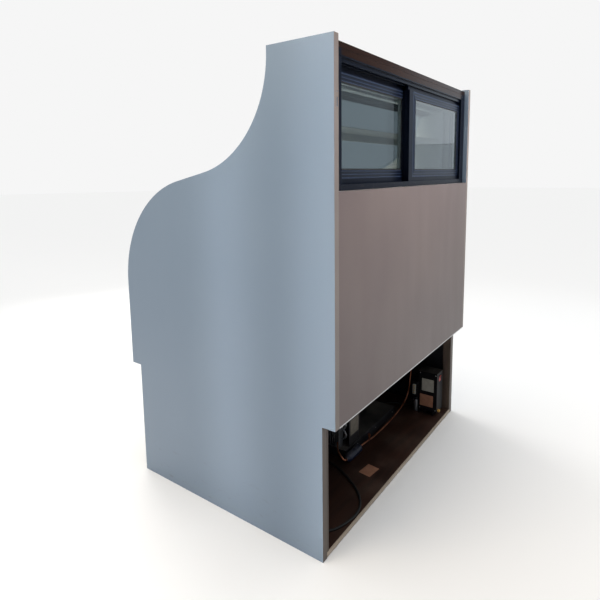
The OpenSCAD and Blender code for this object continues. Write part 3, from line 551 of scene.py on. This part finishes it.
# Condenser. A block of thin aluminium fins is pressed onto rows of copper tube. A folded steel shroud leads
# its air to the fan, through an opening with a rolled lip.
fin_stock = Finish("thin_fin_stock", bare_metal)
fins_per_metre = 500
fin_count = fin_stock.along(1, fin_stock.place((1, fins_per_metre, 1)))
# The gaps between the fins are coloured dark: painted shade between the fins.
shaded_fin_gap = fin_stock.band(abs(fin_count % 1 - 0.5), 0.12, 0.3)
fin_dirt = fin_stock.noise(16, 5)
fins_with_shaded_gaps = fin_stock.blend(shaded_fin_gap, shade(42, 44, 48), shade(168, 172, 178))
fin_stock.feed("Base Color", fin_stock.blend(fin_dirt * 0.55, fins_with_shaded_gaps, shade(96, 92, 88)))
fin_stock.feed("Roughness", fin_dirt * 0.3 + 0.3)
fin_stock.relief(shaded_fin_gap, 0.0006, 0.8)
fin_stock.cover("condenser_coil", "evaporator_fins")
wear_finish(dressed("condenser_shroud", "case", 0.0010), black_coat)
lip_rings = [(0.1262, 0.0), (0.1262, 0.0020), (0.1256, 0.0032), (0.1244, 0.0036), (0.1230, 0.0032),
             (0.1224, 0.0020), (0.1224, 0.0)]
fan_lip = turned("shroud_fan_lip", lip_rings, 72)
bpy.ops.object.mode_set(mode="EDIT")
bpy.ops.mesh.select_all(action="DESELECT")
bpy.ops.object.mode_set(mode="OBJECT")
for face in fan_lip.data.polygons:
    face.select = len(face.vertices) > 4
bpy.ops.object.mode_set(mode="EDIT")
bpy.ops.mesh.bridge_edge_loops()
bpy.ops.mesh.select_all(action="SELECT")
bpy.ops.mesh.normals_make_consistent(inside=False)
bpy.ops.object.mode_set(mode="OBJECT")
fan_opening = (-0.022, 0.030, 0.196)
fitted(set_down(fan_lip, fan_opening, "-X"), black_coat, "case")
stamped = grained("stamped_fan_aluminium", bare_metal, (220, 4, (1, 0.2, 1)), shade(128, 131, 134),
                  shade(168, 171, 174), 0.25, 0.3, 0.0001)
stamped.cover("condenser_fan", "evaporator_fan_left", "evaporator_fan_right")
motor_paint = soft_black("motor_enamel", shade(28, 29, 32), shade(52, 50, 48), 0.45)
motor_paint.cover("condenser_motor", "evaporator_motors")

# Copper lines and drier. Soft copper tube, browned by handling and darkened where it was brazed. It runs from
# the condenser through a blue enamelled filter drier and up the left of the bay, with a capped access valve.
copper = Finish("handled_copper", bare_metal)
copper_tone = copper.noise(18, 5)
copper_spot = copper.noise(130, 3)
copper_shade = copper.blend(copper.band(copper_tone, 0.35, 0.65), shade(128, 76, 54), shade(200, 134, 104))
copper_stains = copper.band(copper_spot, 0.55, 0.7, 0, 0.5)
copper.feed("Base Color", copper.blend(copper_stains, copper_shade, shade(98, 66, 50)))
copper.feed("Roughness", copper_tone * 0.3 + 0.22)
copper.relief(copper_spot, 0.0001, 0.4)
copper.cover("copper_lines", "evaporator_tubes")
drier_enamel = powder_coat("blue_enamel", shade(14, 22, 46), shade(22, 32, 58), 0.3, grey_dust, 0.35)
drier_rings = [(0.0070, 0.0), (0.0078, 0.004), (0.0110, 0.009), (0.0165, 0.014), (0.0188, 0.020),
               (0.0188, 0.056), (0.0190, 0.0564), (0.0190, 0.0584), (0.0188, 0.059), (0.0188, 0.108),
               (0.0165, 0.114), (0.0110, 0.119), (0.0078, 0.124), (0.0070, 0.128)]
drier = set_down(turned("filter_drier_built", drier_rings, 40), (0.016, 0.270, 0.046), "X")
fitted(drier, drier_enamel, "case")
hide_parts("filter_drier")
brazed = Finish("brazed_collar", bare_metal)
heat = brazed.noise(160, 4)
brazed.feed("Base Color", brazed.blend(brazed.band(heat, 0.4, 0.65), shade(70, 44, 34), shade(168, 104, 62)))
brazed.feed("Roughness", heat * 0.3 + 0.35)
brazed.relief(heat, 0.0004, 0.6)
collar_rings = [(0.0048, 0.0), (0.0060, 0.0015), (0.0062, 0.006), (0.0060, 0.0095), (0.0047, 0.011)]
collars = [set_down(turned("collar", collar_rings, 20), (0.0095, 0.270, 0.0455), "X"),
           set_down(turned("collar", collar_rings, 20), (0.139, 0.270, 0.046), "X")]
fitted(joined("brazed_collars", collars), brazed, "case")

# Control box. A small black steel box on two legs at the left rear. Four screws hold its lift-off cover, and
# a red rocker in its rear face works the canopy lamp.
box_low, box_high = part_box("control_box")
box_coat = powder_coat("box_black_coat", shade(9, 9, 11), shade(16, 15, 17), 0.5, grey_dust, 0.2,
                       {"Specular IOR Level": 0.12})
wear_finish(dressed("control_box", "case", 0.0010), box_coat)
cover_spots = [(box_high.x, y, z)
               for y in (box_low.y + 0.008, box_high.y - 0.008)
               for z in (box_low.z + 0.034, box_high.z - 0.010)]
rivets("box_screws", cover_spots, "X", "case", bright_steel, 0.0032)
rocker = grained("red_rocker", {"Coat Weight": 0.5, "Coat Roughness": 0.1}, (90, 3), shade(150, 20, 16),
                 shade(186, 34, 26), 0.2, 0.25)
wear_finish(dressed("light_switch", "light_switch", 0.0004), rocker)

# Relay, capacitor and sleeve. The control box's side carries a moulded start relay with a terminal strip and,
# below it, a drawn aluminium capacitor. A braided sleeve takes the wires over the floor to the compressor.
box_side = box_low.y
sunk = 0.0005
relay = joined("start_relay", [
    block("relay_case", (-0.520, box_side - 0.038, 0.104), (-0.486, box_side + sunk, 0.184), 0.0025, 3),
    block("relay_foot", (-0.524, box_side - 0.006, 0.096), (-0.482, box_side + sunk, 0.192), 0.001)])
fitted(relay, moulding, "case")
strip_plastic = grained("terminal_strip_plastic", {"Specular IOR Level": 0.5}, (60, 4), shade(150, 146, 134),
                        shade(188, 184, 172), 0.2, 0.35)
strip_face = -0.4780
strip_low = (-0.4865, box_side - 0.033, 0.118)
strip_high = (strip_face, box_side - 0.017, 0.172)
fitted(block("terminal_strip", strip_low, strip_high, 0.0012, 3), strip_plastic, "case")
brass = grained("turned_brass", bare_metal, (120, 4), shade(168, 122, 62), shade(222, 184, 112), 0.25, 0.22)
screw_spots = [(strip_face, box_side - 0.025, z) for z in (0.126, 0.1387, 0.1513, 0.164)]
rivets("terminal_screws", screw_spots, "X", "case", brass, 0.0042)
gland_rings = [(0.009, -0.0006), (0.009, 0.005), (0.0074, 0.0056), (0.0074, 0.009), (0.0062, 0.011),
               (0.004, 0.0114)]
gland_spot = (-0.500, box_high.y, box_low.z + 0.030)
fitted(set_down(turned("box_gland", gland_rings, 6), gland_spot, "Y"), brass, "case")
can_rings = [(0.0150, 0.0205), (0.0165, 0.0215), (0.0165, 0.0800), (0.0150, 0.0850), (0.0135, 0.0855),
             (0.0132, 0.0840)]
can_metal = grained("drawn_can_aluminium", bare_metal, (40, 5, (1, 1, 0.2)), shade(120, 120, 122),
                    shade(178, 178, 180), 0.25, 0.28)
can_spot = (-0.504, box_side - 0.021, 0)
fitted(set_down(turned("run_capacitor", can_rings, 40), can_spot), can_metal, "case")
sleeve_spots = [(-0.512, 0.315, 0.106), (-0.526, 0.300, 0.060), (-0.530, 0.268, 0.027),
                (-0.505, 0.200, 0.0250), (-0.462, 0.120, 0.0250), (-0.432, 0.050, 0.0260),
                (-0.416, 0.005, 0.040), (-0.400, -0.025, 0.066), (-0.370, -0.062, 0.0705),
                (-0.335, -0.078, 0.096), (-0.305, -0.068, 0.132), (-0.287, -0.058, 0.150)]
sleeve_curve = bpy.data.curves.new("compressor_sleeve", "CURVE")
sleeve_curve.dimensions = "3D"
sleeve_curve.bevel_depth = 0.0035
sleeve_curve.bevel_resolution = 3
sleeve_curve.resolution_u = 8
sleeve_curve.use_fill_caps = True
sleeve_line = sleeve_curve.splines.new("BEZIER")
sleeve_line.bezier_points.add(len(sleeve_spots) - 1)
for point, spot in zip(sleeve_line.bezier_points, sleeve_spots):
    point.co = spot
    point.handle_left_type = "AUTO"
    point.handle_right_type = "AUTO"
sleeve = bpy.data.objects.new("compressor_sleeve", sleeve_curve)
bpy.context.collection.objects.link(sleeve)
pick(sleeve)
bpy.ops.object.convert(target="MESH")
bpy.ops.object.shade_smooth_by_angle(angle=math.radians(40))
braid = soft_black("braided_sleeve", shade(15, 15, 16), shade(34, 33, 32), 0.7)
fitted(bpy.context.active_object, braid, "case")


# Blank labels. Plain pressure-sensitive labels, left bare: one on the floor board, one on the shroud's rear
# face and two on the control box. Each is a thin sheet with rounded corners.
def flat_sheet(name, wide, tall):
    """A rectangle lying flat round the origin, left in edit mode with its one face selected."""
    bpy.ops.object.select_all(action="DESELECT")
    bpy.ops.mesh.primitive_plane_add(size=1, location=(0, 0, 0))
    piece = bpy.context.active_object
    piece.name = name
    piece.scale = (wide, tall, 1)
    bpy.ops.object.transform_apply(scale=True)
    bpy.ops.object.mode_set(mode="EDIT")
    bpy.ops.mesh.select_mode(type="FACE")
    bpy.ops.mesh.select_all(action="SELECT")
    return piece


def thicken(piece, thickness):
    sheet = piece.modifiers.new("thickness", "SOLIDIFY")
    sheet.thickness = thickness
    sheet.offset = 1
    bpy.ops.object.modifier_apply(modifier="thickness")


def blank_label(name, middle, wide, tall, facing, finish, spin=0):
    piece = flat_sheet(name, wide, tall)
    bpy.ops.mesh.bevel(offset=0.0025, segments=3, affect="VERTICES")
    bpy.ops.mesh.select_all(action="SELECT")
    bpy.ops.mesh.inset(thickness=0.003, depth=0)
    bpy.ops.object.mode_set(mode="OBJECT")
    thicken(piece, 0.0003)
    piece.rotation_euler = (0, 0, math.radians(spin))
    bpy.ops.object.transform_apply(rotation=True)
    fitted(set_down(piece, middle, facing), finish, "case")


def label_stock(name, dull, clean):
    finish = Finish(name, {"Specular IOR Level": 0.3})
    foxing = finish.noise(46, 5)
    finish.feed("Base Color", finish.blend(finish.band(foxing, 0.35, 0.85), clean, dull))
    finish.feed("Roughness", foxing * 0.2 + 0.5)
    finish.relief(finish.noise(700, 3), 0.0001, 0.3)
    return finish


white_label = label_stock("white_label_stock", shade(140, 135, 125), shade(162, 157, 146))
buff_label = label_stock("buff_label_stock", shade(142, 97, 74), shade(162, 116, 92))
# The shroud's label uses a darker copy of the label stock.
tag_label = label_stock("darker_tag_stock", shade(98, 92, 82), shade(118, 111, 100))
board_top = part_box("base_floor")[1].z
shroud_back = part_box("condenser_shroud")[1].y
blank_label("floor_label", (0.123, 0.371, board_top), 0.075, 0.056, "Z", buff_label, -6)
blank_label("shroud_label", (0.023, shroud_back, 0.144), 0.073, 0.075, "Y", tag_label)
blank_label("box_label_upper", (box_high.x, 0.3955, 0.1845), 0.067, 0.065, "X", white_label)
blank_label("box_label_lower", (box_high.x, 0.389, 0.099), 0.064, 0.072, "X", buff_label)


# End panels. Two 25 mm boards cut to one S-shaped outline and faced in pale grey laminate with a fine satin
# texture. Their cut edges are covered by a brown-grey edge band, pressed on hot and trimmed flush.
panel_face = Finish("pale_grey_laminate", {"Specular IOR Level": 0.5})
panel_cloud = panel_face.noise(1.7, 3)
panel_pebble = panel_face.noise(1500, 2)
panel_wipe = panel_face.noise(9, 5, (1, 1, 0.07))
panel_scuff = panel_face.noise(60, 4, (1, 0.35, 1))
panel_height = panel_face.along(2)
near_floor = panel_face.band(panel_height, 0.24, 0.0)
scuffs = panel_face.band(panel_scuff, 0.62, 0.7) * near_floor
panel_mottle = panel_cloud * 0.75 + panel_wipe * 0.25
panel_tone = panel_face.blend(panel_mottle, shade(121, 138, 156), shade(132, 147, 163))
bay_top = 0.4815
panel_inner_face = 0.6104
# Below the bay's top, the panels' inner faces are coloured near black: painted shade of the machine bay.
painted_bay_shade = (panel_height < bay_top) * (abs(panel_face.along(0)) < panel_inner_face)
panel_marked = panel_face.blend(scuffs * 0.35, panel_tone, shade(116, 112, 108))
panel_face.feed("Base Color", panel_face.blend(painted_bay_shade, panel_marked, shade(22, 22, 26)))
panel_face.feed("Roughness", panel_wipe * 0.06 + scuffs * 0.2 + 0.27)
panel_face.relief(panel_pebble, 0.00006, 0.35)
edge_band = Finish("brown_grey_edge_band", {})
band_mottle = edge_band.noise(3.1, 3) * 0.6 + edge_band.noise(800, 3) * 0.4
band_tone = edge_band.blend(edge_band.band(band_mottle, 0.35, 0.65), shade(108, 99, 94), shade(124, 115, 110))
# Below the bay's top the edge band is coloured darker: painted shade of the machine bay.
bay_shade_on_band = edge_band.band(edge_band.along(2), 0.483, 0.481)
edge_band.feed("Base Color", edge_band.blend(bay_shade_on_band, band_tone, shade(82, 72, 64)))
edge_band.feed("Roughness", band_mottle * 0.14 + 0.38)
edge_band.relief(band_mottle, 0.00020, 0.3)
for side in ("left", "right"):
    board = dressed("end_panel_" + side, "case", 0.0010, 3, 20)
    board.data.materials.clear()
    board.data.materials.append(panel_face.material)
    board.data.materials.append(edge_band.material)
    for face in board.data.polygons:
        face.material_index = 0 if abs(face.normal.x) > 0.8 else 1

# Back panel. One 12 mm board between the end panels, from the overhang up to the door frame, faced in a warm
# grey laminate. A thin aluminium angle caps its lower edge against knocks.
back_face = faced_board("warm_grey_laminate", shade(94, 82, 81), shade(103, 91, 88), 0.42, 1100,
                        {"Specular IOR Level": 0.42})
wear_finish(dressed("rear_panel", "case", 0.0008), back_face)
back_low, back_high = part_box("rear_panel")
foot_angle = block("back_foot_angle", (back_low.x + 0.001, back_high.y - 0.006, back_low.z - 0.0004),
                   (back_high.x - 0.001, back_high.y + 0.0004, back_low.z + 0.004), 0.0003)
satin_aluminium = grained("satin_aluminium", bare_metal, (260, 4, (0.02, 1, 1)), shade(170, 172, 174),
                          shade(206, 207, 208), 0.2, 0.28, 0.00008)
fitted(foot_angle, satin_aluminium, "case")

# Insulated walls. Foamed-in-place panels make the back wall, the tub floor and the front wall. Their skins
# are prepainted off-white. The tub floor is coloured near black all over instead, as painted shade of the
# machine bay that its underside closes.
wall_dust = shade(150, 146, 138)
skin = powder_coat("prepainted_skin", shade(196, 195, 190), shade(206, 205, 200), 0.4, wall_dust, 0.3)
skin.cover("back_wall", "front_wall")
shaded_under_skin = powder_coat("painted_shade_underside", shade(15, 15, 17), shade(24, 23, 24), 0.6, grey_dust, 0.1)
shaded_under_skin.cover("tub_floor")

# Kick panel, fascia, bumper and sill cap. The customers' side is skinned in charcoal powder-coated steel, and
# its louvred kick panel in black, a common toe-kick colour that also stands as painted shade at the back of
# the machine bay. A vinyl bumper is snapped on, and a folded stainless cap holds the glass.
charcoal = powder_coat("charcoal_powder_coat", shade(58, 60, 64), shade(68, 69, 72), 0.38, grey_dust, 0.25)
wear_finish(dressed("kick_panel", "case", 0.0010), black_coat)
kick_low, kick_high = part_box("kick_panel")
kick_spots = [(x, kick_low.y, z)
              for x in (-0.595, -0.2, 0.1, 0.595)
              for z in (kick_low.z + 0.02, kick_high.z - 0.02)]
rivets("kick_screws", kick_spots, "-Y", "case", bright_steel, 0.0042)
wear_finish(dressed("front_fascia", "case", 0.0008), charcoal)
vinyl = soft_black("bumper_vinyl", shade(24, 24, 25), shade(46, 45, 44), 0.5)
vinyl.cover("bumper")
brushed = Finish("brushed_stainless", bare_metal)
brush_lines = brushed.noise(700, 4, (0.012, 1, 1))
brush_smear = brushed.noise(8, 4)
brushed.feed("Base Color", brushed.blend(brush_lines, shade(160, 160, 158), shade(200, 200, 197)))
brushed.feed("Roughness", brush_lines * 0.14 + brush_smear * 0.16 + 0.16)
brushed.relief(brush_lines, 0.00006, 0.35)
wear_finish(dressed("sill_cap", "case", 0.0009), brushed)
clear = Finish("clear_tempered_glass", {"Transmission Weight": 1.0, "IOR": 1.5,
                                        "Base Color": (0.9, 0.97, 0.95, 1)})
clear.feed("Roughness", clear.band(clear.noise(5, 4), 0.4, 0.8, 0.0, 0.05))
wear_finish(dressed("front_glass", "case", 0.0010), clear)

# Deck and duct. Three lift-out pans make the deck, with a slotted return grille along its front. Cold air
# rises behind the perforated duct panel. All of it is folded sheet in charcoal powder coat.
deck_dust = shade(140, 136, 130)
deck_coat = powder_coat("deck_powder_coat", shade(70, 72, 76), shade(82, 83, 86), 0.4, deck_dust, 0.15)
for sheet_part in ("deck_pans", "return_grille"):
    wear_finish(dressed(sheet_part, "case", 0.0006), deck_coat)
wear_finish(dressed("duct_panel", "case", 0.0005), deck_coat)

# Liners. Satin white sheets are bonded to the inner faces of the end panels. Each is cut from one thin
# plastic sheet and follows the panel's curve.
liner_sheet = grained("white_liner_sheet", {"Specular IOR Level": 0.4}, (2.6, 3), shade(208, 208, 204),
                      shade(222, 222, 218), 0.2, 0.3)
liner_sheet.relief(liner_sheet.noise(900, 2), 0.00005, 0.3)
for side in ("left", "right"):
    wear_finish(dressed("liner_" + side, "case", 0.0006, 2, 20), liner_sheet)

# Evaporator fan plenum. A galvanised plate stands across the tub with two round openings. Behind each a small
# motor hangs on a strap and turns a five-bladed fan.
zinc.cover("fan_plenum")

# Shelves. Three stepped shelves of folded steel, powder coated white, hook onto slotted aluminium standards
# by their brackets. Each carries a white price rail along its front edge.
white_coat = powder_coat("white_powder_coat", shade(206, 206, 202), shade(216, 216, 212), 0.34,
                         shade(176, 174, 168), 0.2)
for shelf_part in ("shelf_lower", "shelf_upper", "shelf_top"):
    wear_finish(dressed(shelf_part, "case", 0.0008), white_coat)
white_coat.cover("shelf_brackets")
satin_aluminium.cover("shelf_standards")
rail_plastic = grained("white_rail_plastic", {"Coat Weight": 0.3, "Coat Roughness": 0.15}, (20, 3),
                       shade(214, 214, 208), shade(228, 228, 224), 0.2, 0.25)
wear_finish(dressed("price_rails", "case", 0.0004), rail_plastic)

# Canopy. A folded charcoal shell hangs under the top board. Cold air falls through a dark cellular strip
# along its front edge, and a slim lamp with an opal lens runs behind it.
wear_finish(dressed("canopy_shell", "case", 0.0008), charcoal)
cell_plastic = grained("dark_cell_plastic", {"Specular IOR Level": 0.3}, (70, 3), shade(40, 41, 44),
                       shade(62, 62, 64), 0.2, 0.5)
cell_plastic.cover("air_honeycomb")
wear_finish(dressed("lamp_housing", "case", 0.0010), satin_aluminium)
opal = grained("opal_lens", {"Coat Weight": 0.4, "Coat Roughness": 0.2}, (40, 2), shade(228, 228, 222),
               shade(240, 240, 236), 0.15, 0.3)
wear_finish(dressed("lamp_lens", "case", 0.0016, 3), opal)


# Top board and frame head. The top is an 18 mm board in glossy dark brown laminate. The door frame's head
# below it is a dark bronze anodised extrusion. The two read as one dark band across the back.
def gloss_brown(name, dark, pale, roughness):
    finish = Finish(name, {"Specular IOR Level": 0.07})
    streak = finish.noise(55, 5, (0.03, 1, 1))
    cloud = finish.noise(5, 3)
    ground = finish.blend(finish.band(streak * 0.6 + cloud * 0.4, 0.35, 0.65), dark, pale)
    finish.feed("Roughness", streak * 0.16 + (roughness - 0.08))
    finish.relief(streak, 0.00008, 0.3)
    return finish, ground


brown_gloss, brown_ground = gloss_brown("brown_gloss_laminate", shade(28, 15, 10), shade(37, 22, 16), 0.2)
brown_gloss.feed("Base Color", brown_ground)
wear_finish(dressed("top_board", "case", 0.0009), brown_gloss)
bronze, bronze_ground = gloss_brown("bronze_anodised", shade(29, 16, 11), shade(38, 23, 16), 0.22)
cover_foot = 1.6425
cover_half_width = 0.5605
bronze_cover = (bronze.along(2) > cover_foot) * (abs(bronze.along(0)) < cover_half_width)
bronze.feed("Base Color", bronze.blend(bronze_cover, shade(13, 18, 28), bronze_ground))
wear_finish(dressed("frame_head", "case", 0.0008), bronze)


# Door frame. Blue-black anodised extrusions make the jambs and the sill. The sill has two upstanding ribs, on
# which the sashes' feet slide.
def blue_black(name, drawn_along, gloss=0.09, pale=shade(10, 15, 28)):
    finish = Finish(name, {"Specular IOR Level": gloss, "Specular Tint": (0.6, 0.75, 1.0, 1)})
    drawn = finish.noise(420, 4, drawn_along)
    cloud = finish.noise(6, 3)
    dust = finish.noise(90, 5)
    ground = finish.blend(finish.band(drawn * 0.5 + cloud * 0.5, 0.35, 0.65), shade(6, 10, 21), pale)
    finish.feed("Roughness", cloud * 0.12 + drawn * 0.05 + 0.24)
    finish.relief(drawn, 0.00003, 0.2)
    return finish, ground, dust


jamb_black, jamb_ground, jamb_dust = blue_black("jamb_blue_black", (1, 1, 0.02))
jamb_speck = jamb_black.band(jamb_dust, 0.58, 0.75, 0, 0.07)
jamb_black.feed("Base Color", jamb_black.blend(jamb_speck, jamb_ground, shade(110, 108, 106)))
wear_finish(dressed("frame_jambs", "case", 0.0007), jamb_black)
sill_black, sill_ground, sill_dust = blue_black("sill_blue_black", (0.02, 1, 1))
sill_speck = sill_black.band(sill_dust, 0.55, 0.72, 0, 0.12)
sill_black.feed("Base Color", sill_black.blend(sill_speck, sill_ground, shade(118, 114, 108)))
wear_finish(dressed("frame_sill", "case", 0.0007), sill_black)


# Sliding doors. Each sash is four blue-black extrusions with stepped beads, mitred at the corners round a
# sealed double-glazed unit. A grey aluminium spacer shows just inside the glass, and a black gasket seals it.
def gasket_ring(name, wide, tall):
    """A thin rubber ring of the given outside size, lying flat and facing up."""
    ring = flat_sheet(name, wide, tall)
    bpy.ops.mesh.inset(thickness=0.0025, depth=0)
    bpy.ops.mesh.delete(type="FACE")
    bpy.ops.object.mode_set(mode="OBJECT")
    thicken(ring, 0.0012)
    rounding = ring.modifiers.new("rounding", "BEVEL")
    rounding.width = 0.0004
    rounding.segments = 2
    bpy.ops.object.modifier_apply(modifier="rounding")
    return ring


def bead_ring(name, wide, tall):
    """A closed ring whose face steps in, up and down from its outer edge, as the extrusion's profile does."""
    ring = flat_sheet(name, wide, tall)
    for step_in, step_up in ((0.0001, 0.0018), (0.0030, 0), (0.0006, -0.0014), (0.0080, 0), (0.0004, 0.0012),
                             (0.0022, 0), (0.0006, -0.0012), (0.0080, 0), (0.0004, 0.0009), (0.0018, 0),
                             (0.0020, -0.0012)):
        bpy.ops.mesh.inset(thickness=step_in, depth=step_up)
    bpy.ops.mesh.delete(type="FACE")
    bpy.ops.mesh.select_mode(type="EDGE")
    bpy.ops.mesh.select_non_manifold()
    bpy.ops.mesh.bridge_edge_loops()
    bpy.ops.mesh.select_all(action="SELECT")
    bpy.ops.mesh.normals_make_consistent(inside=False)
    bpy.ops.object.mode_set(mode="OBJECT")
    return ring


def ring_pair(name, ring, margin, rear_y, front_y):
    """The same ring on the rear and the front face of this door, each facing out."""
    pair = []
    for face_y, facing in ((rear_y, "Y"), (front_y, "-Y")):
        flat_ring = ring(name, 2 * half_wide + margin, 2 * half_tall + margin)
        pair.append(set_down(flat_ring, (middle_x, face_y, middle_z), facing))
    return joined(name, pair)


dark_line = shade(6, 6, 8)
coated = Finish("coated_door_glass", {"Transmission Weight": 1.0, "IOR": 1.52, "Specular IOR Level": 0.8,
                                      "Base Color": (0.60, 0.66, 0.665, 1)})
coated.feed("Roughness", coated.band(coated.noise(3.5, 5), 0.45, 0.8, 0.0, 0.06))
gasket_rubber = soft_black("gasket_rubber", shade(16, 16, 17), shade(30, 30, 30), 0.6)
spacer_metal = Finish("drilled_spacer", bare_metal)
holes_per_metre = 180
spacer_axes = spacer_metal.place((holes_per_metre, holes_per_metre, holes_per_metre))
hole_row = spacer_metal.node("ShaderNodeTexVoronoi", {}, {"Vector": spacer_axes, "Scale": 1.0})
spacer_pits = spacer_metal.band(hole_row, 0.12, 0.2)
spacer_metal.feed("Base Color", spacer_metal.blend(spacer_pits, shade(90, 92, 92), shade(204, 208, 208)))
spacer_metal.feed("Roughness", spacer_metal.noise(300, 2) * 0.2 + 0.3)
lip = 0.008
stile_width = 0.0285
mitre_width = 0.00035
bead_margin = 0.055
bead_sunk = 0.002
gasket_margin = 0.0004
ridge_height = 0.0010
for door, body in (("outer", "outer_door"), ("inner", "inner_door")):
    unit_low, unit_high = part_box(door + "_glass")
    sash_low, sash_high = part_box(door + "_sash")
    middle_x = (unit_high.x + unit_low.x) / 2
    middle_z = (unit_high.z + unit_low.z) / 2
    half_wide = (unit_high.x - unit_low.x) / 2 - lip
    half_tall = (unit_high.z - unit_low.z) / 2 - lip
    sash_black, sash_ground, sash_dust = blue_black(door + "_sash_blue_black", (1, 1, 0.05))
    centred = sash_black.node("ShaderNodeMapping", {}, {
        "Vector": sash_black.node("ShaderNodeTexCoord", output="Object"),
        "Location": (-middle_x, 0, -middle_z)})
    across = abs(sash_black.along(0, centred)) - half_wide
    above = abs(sash_black.along(2, centred)) - half_tall
    at_corner = (across > 0.0) * (above > 0.0) * (across < stile_width)
    mitre = (abs(across - above) < mitre_width) * at_corner
    sash_speck = sash_black.band(sash_dust, 0.6, 0.76, 0, 0.05)
    sash_tone = sash_black.blend(sash_speck, sash_ground, shade(110, 110, 110))
    sash_black.feed("Base Color", sash_black.blend(mitre, sash_tone, dark_line))
    wear_finish(dressed(door + "_sash", body, 0.0006), sash_black)
    wear_finish(dressed(door + "_glass", body, 0.0005), coated)
    wear_finish(dressed(door + "_spacer", body, 0.0004), spacer_metal)
    gaskets = ring_pair(door + "_gaskets", gasket_ring, gasket_margin, unit_high.y, unit_low.y)
    fitted(gaskets, gasket_rubber, body)
    bead_black, bead_ground, _ = blue_black(door + "_bead_blue_black", (1, 1, 0.05), 0.2, shade(11, 16, 29))
    off_middle = abs(bead_black.along(1) - (sash_low.y + sash_high.y) / 2)
    ridge_highlight = off_middle > (sash_high.y - sash_low.y) / 2 - ridge_height
    # The bead's ridge tops are coloured paler: a painted highlight along the ridges.
    bead_black.feed("Base Color", bead_black.blend(ridge_highlight, bead_ground, shade(40, 52, 74)))
    bead_rear = sash_high.y - bead_sunk
    bead_front = sash_low.y + bead_sunk
    beads = ring_pair(door + "_beads", bead_ring, bead_margin, bead_rear, bead_front)
    fitted(beads, bead_black, body)
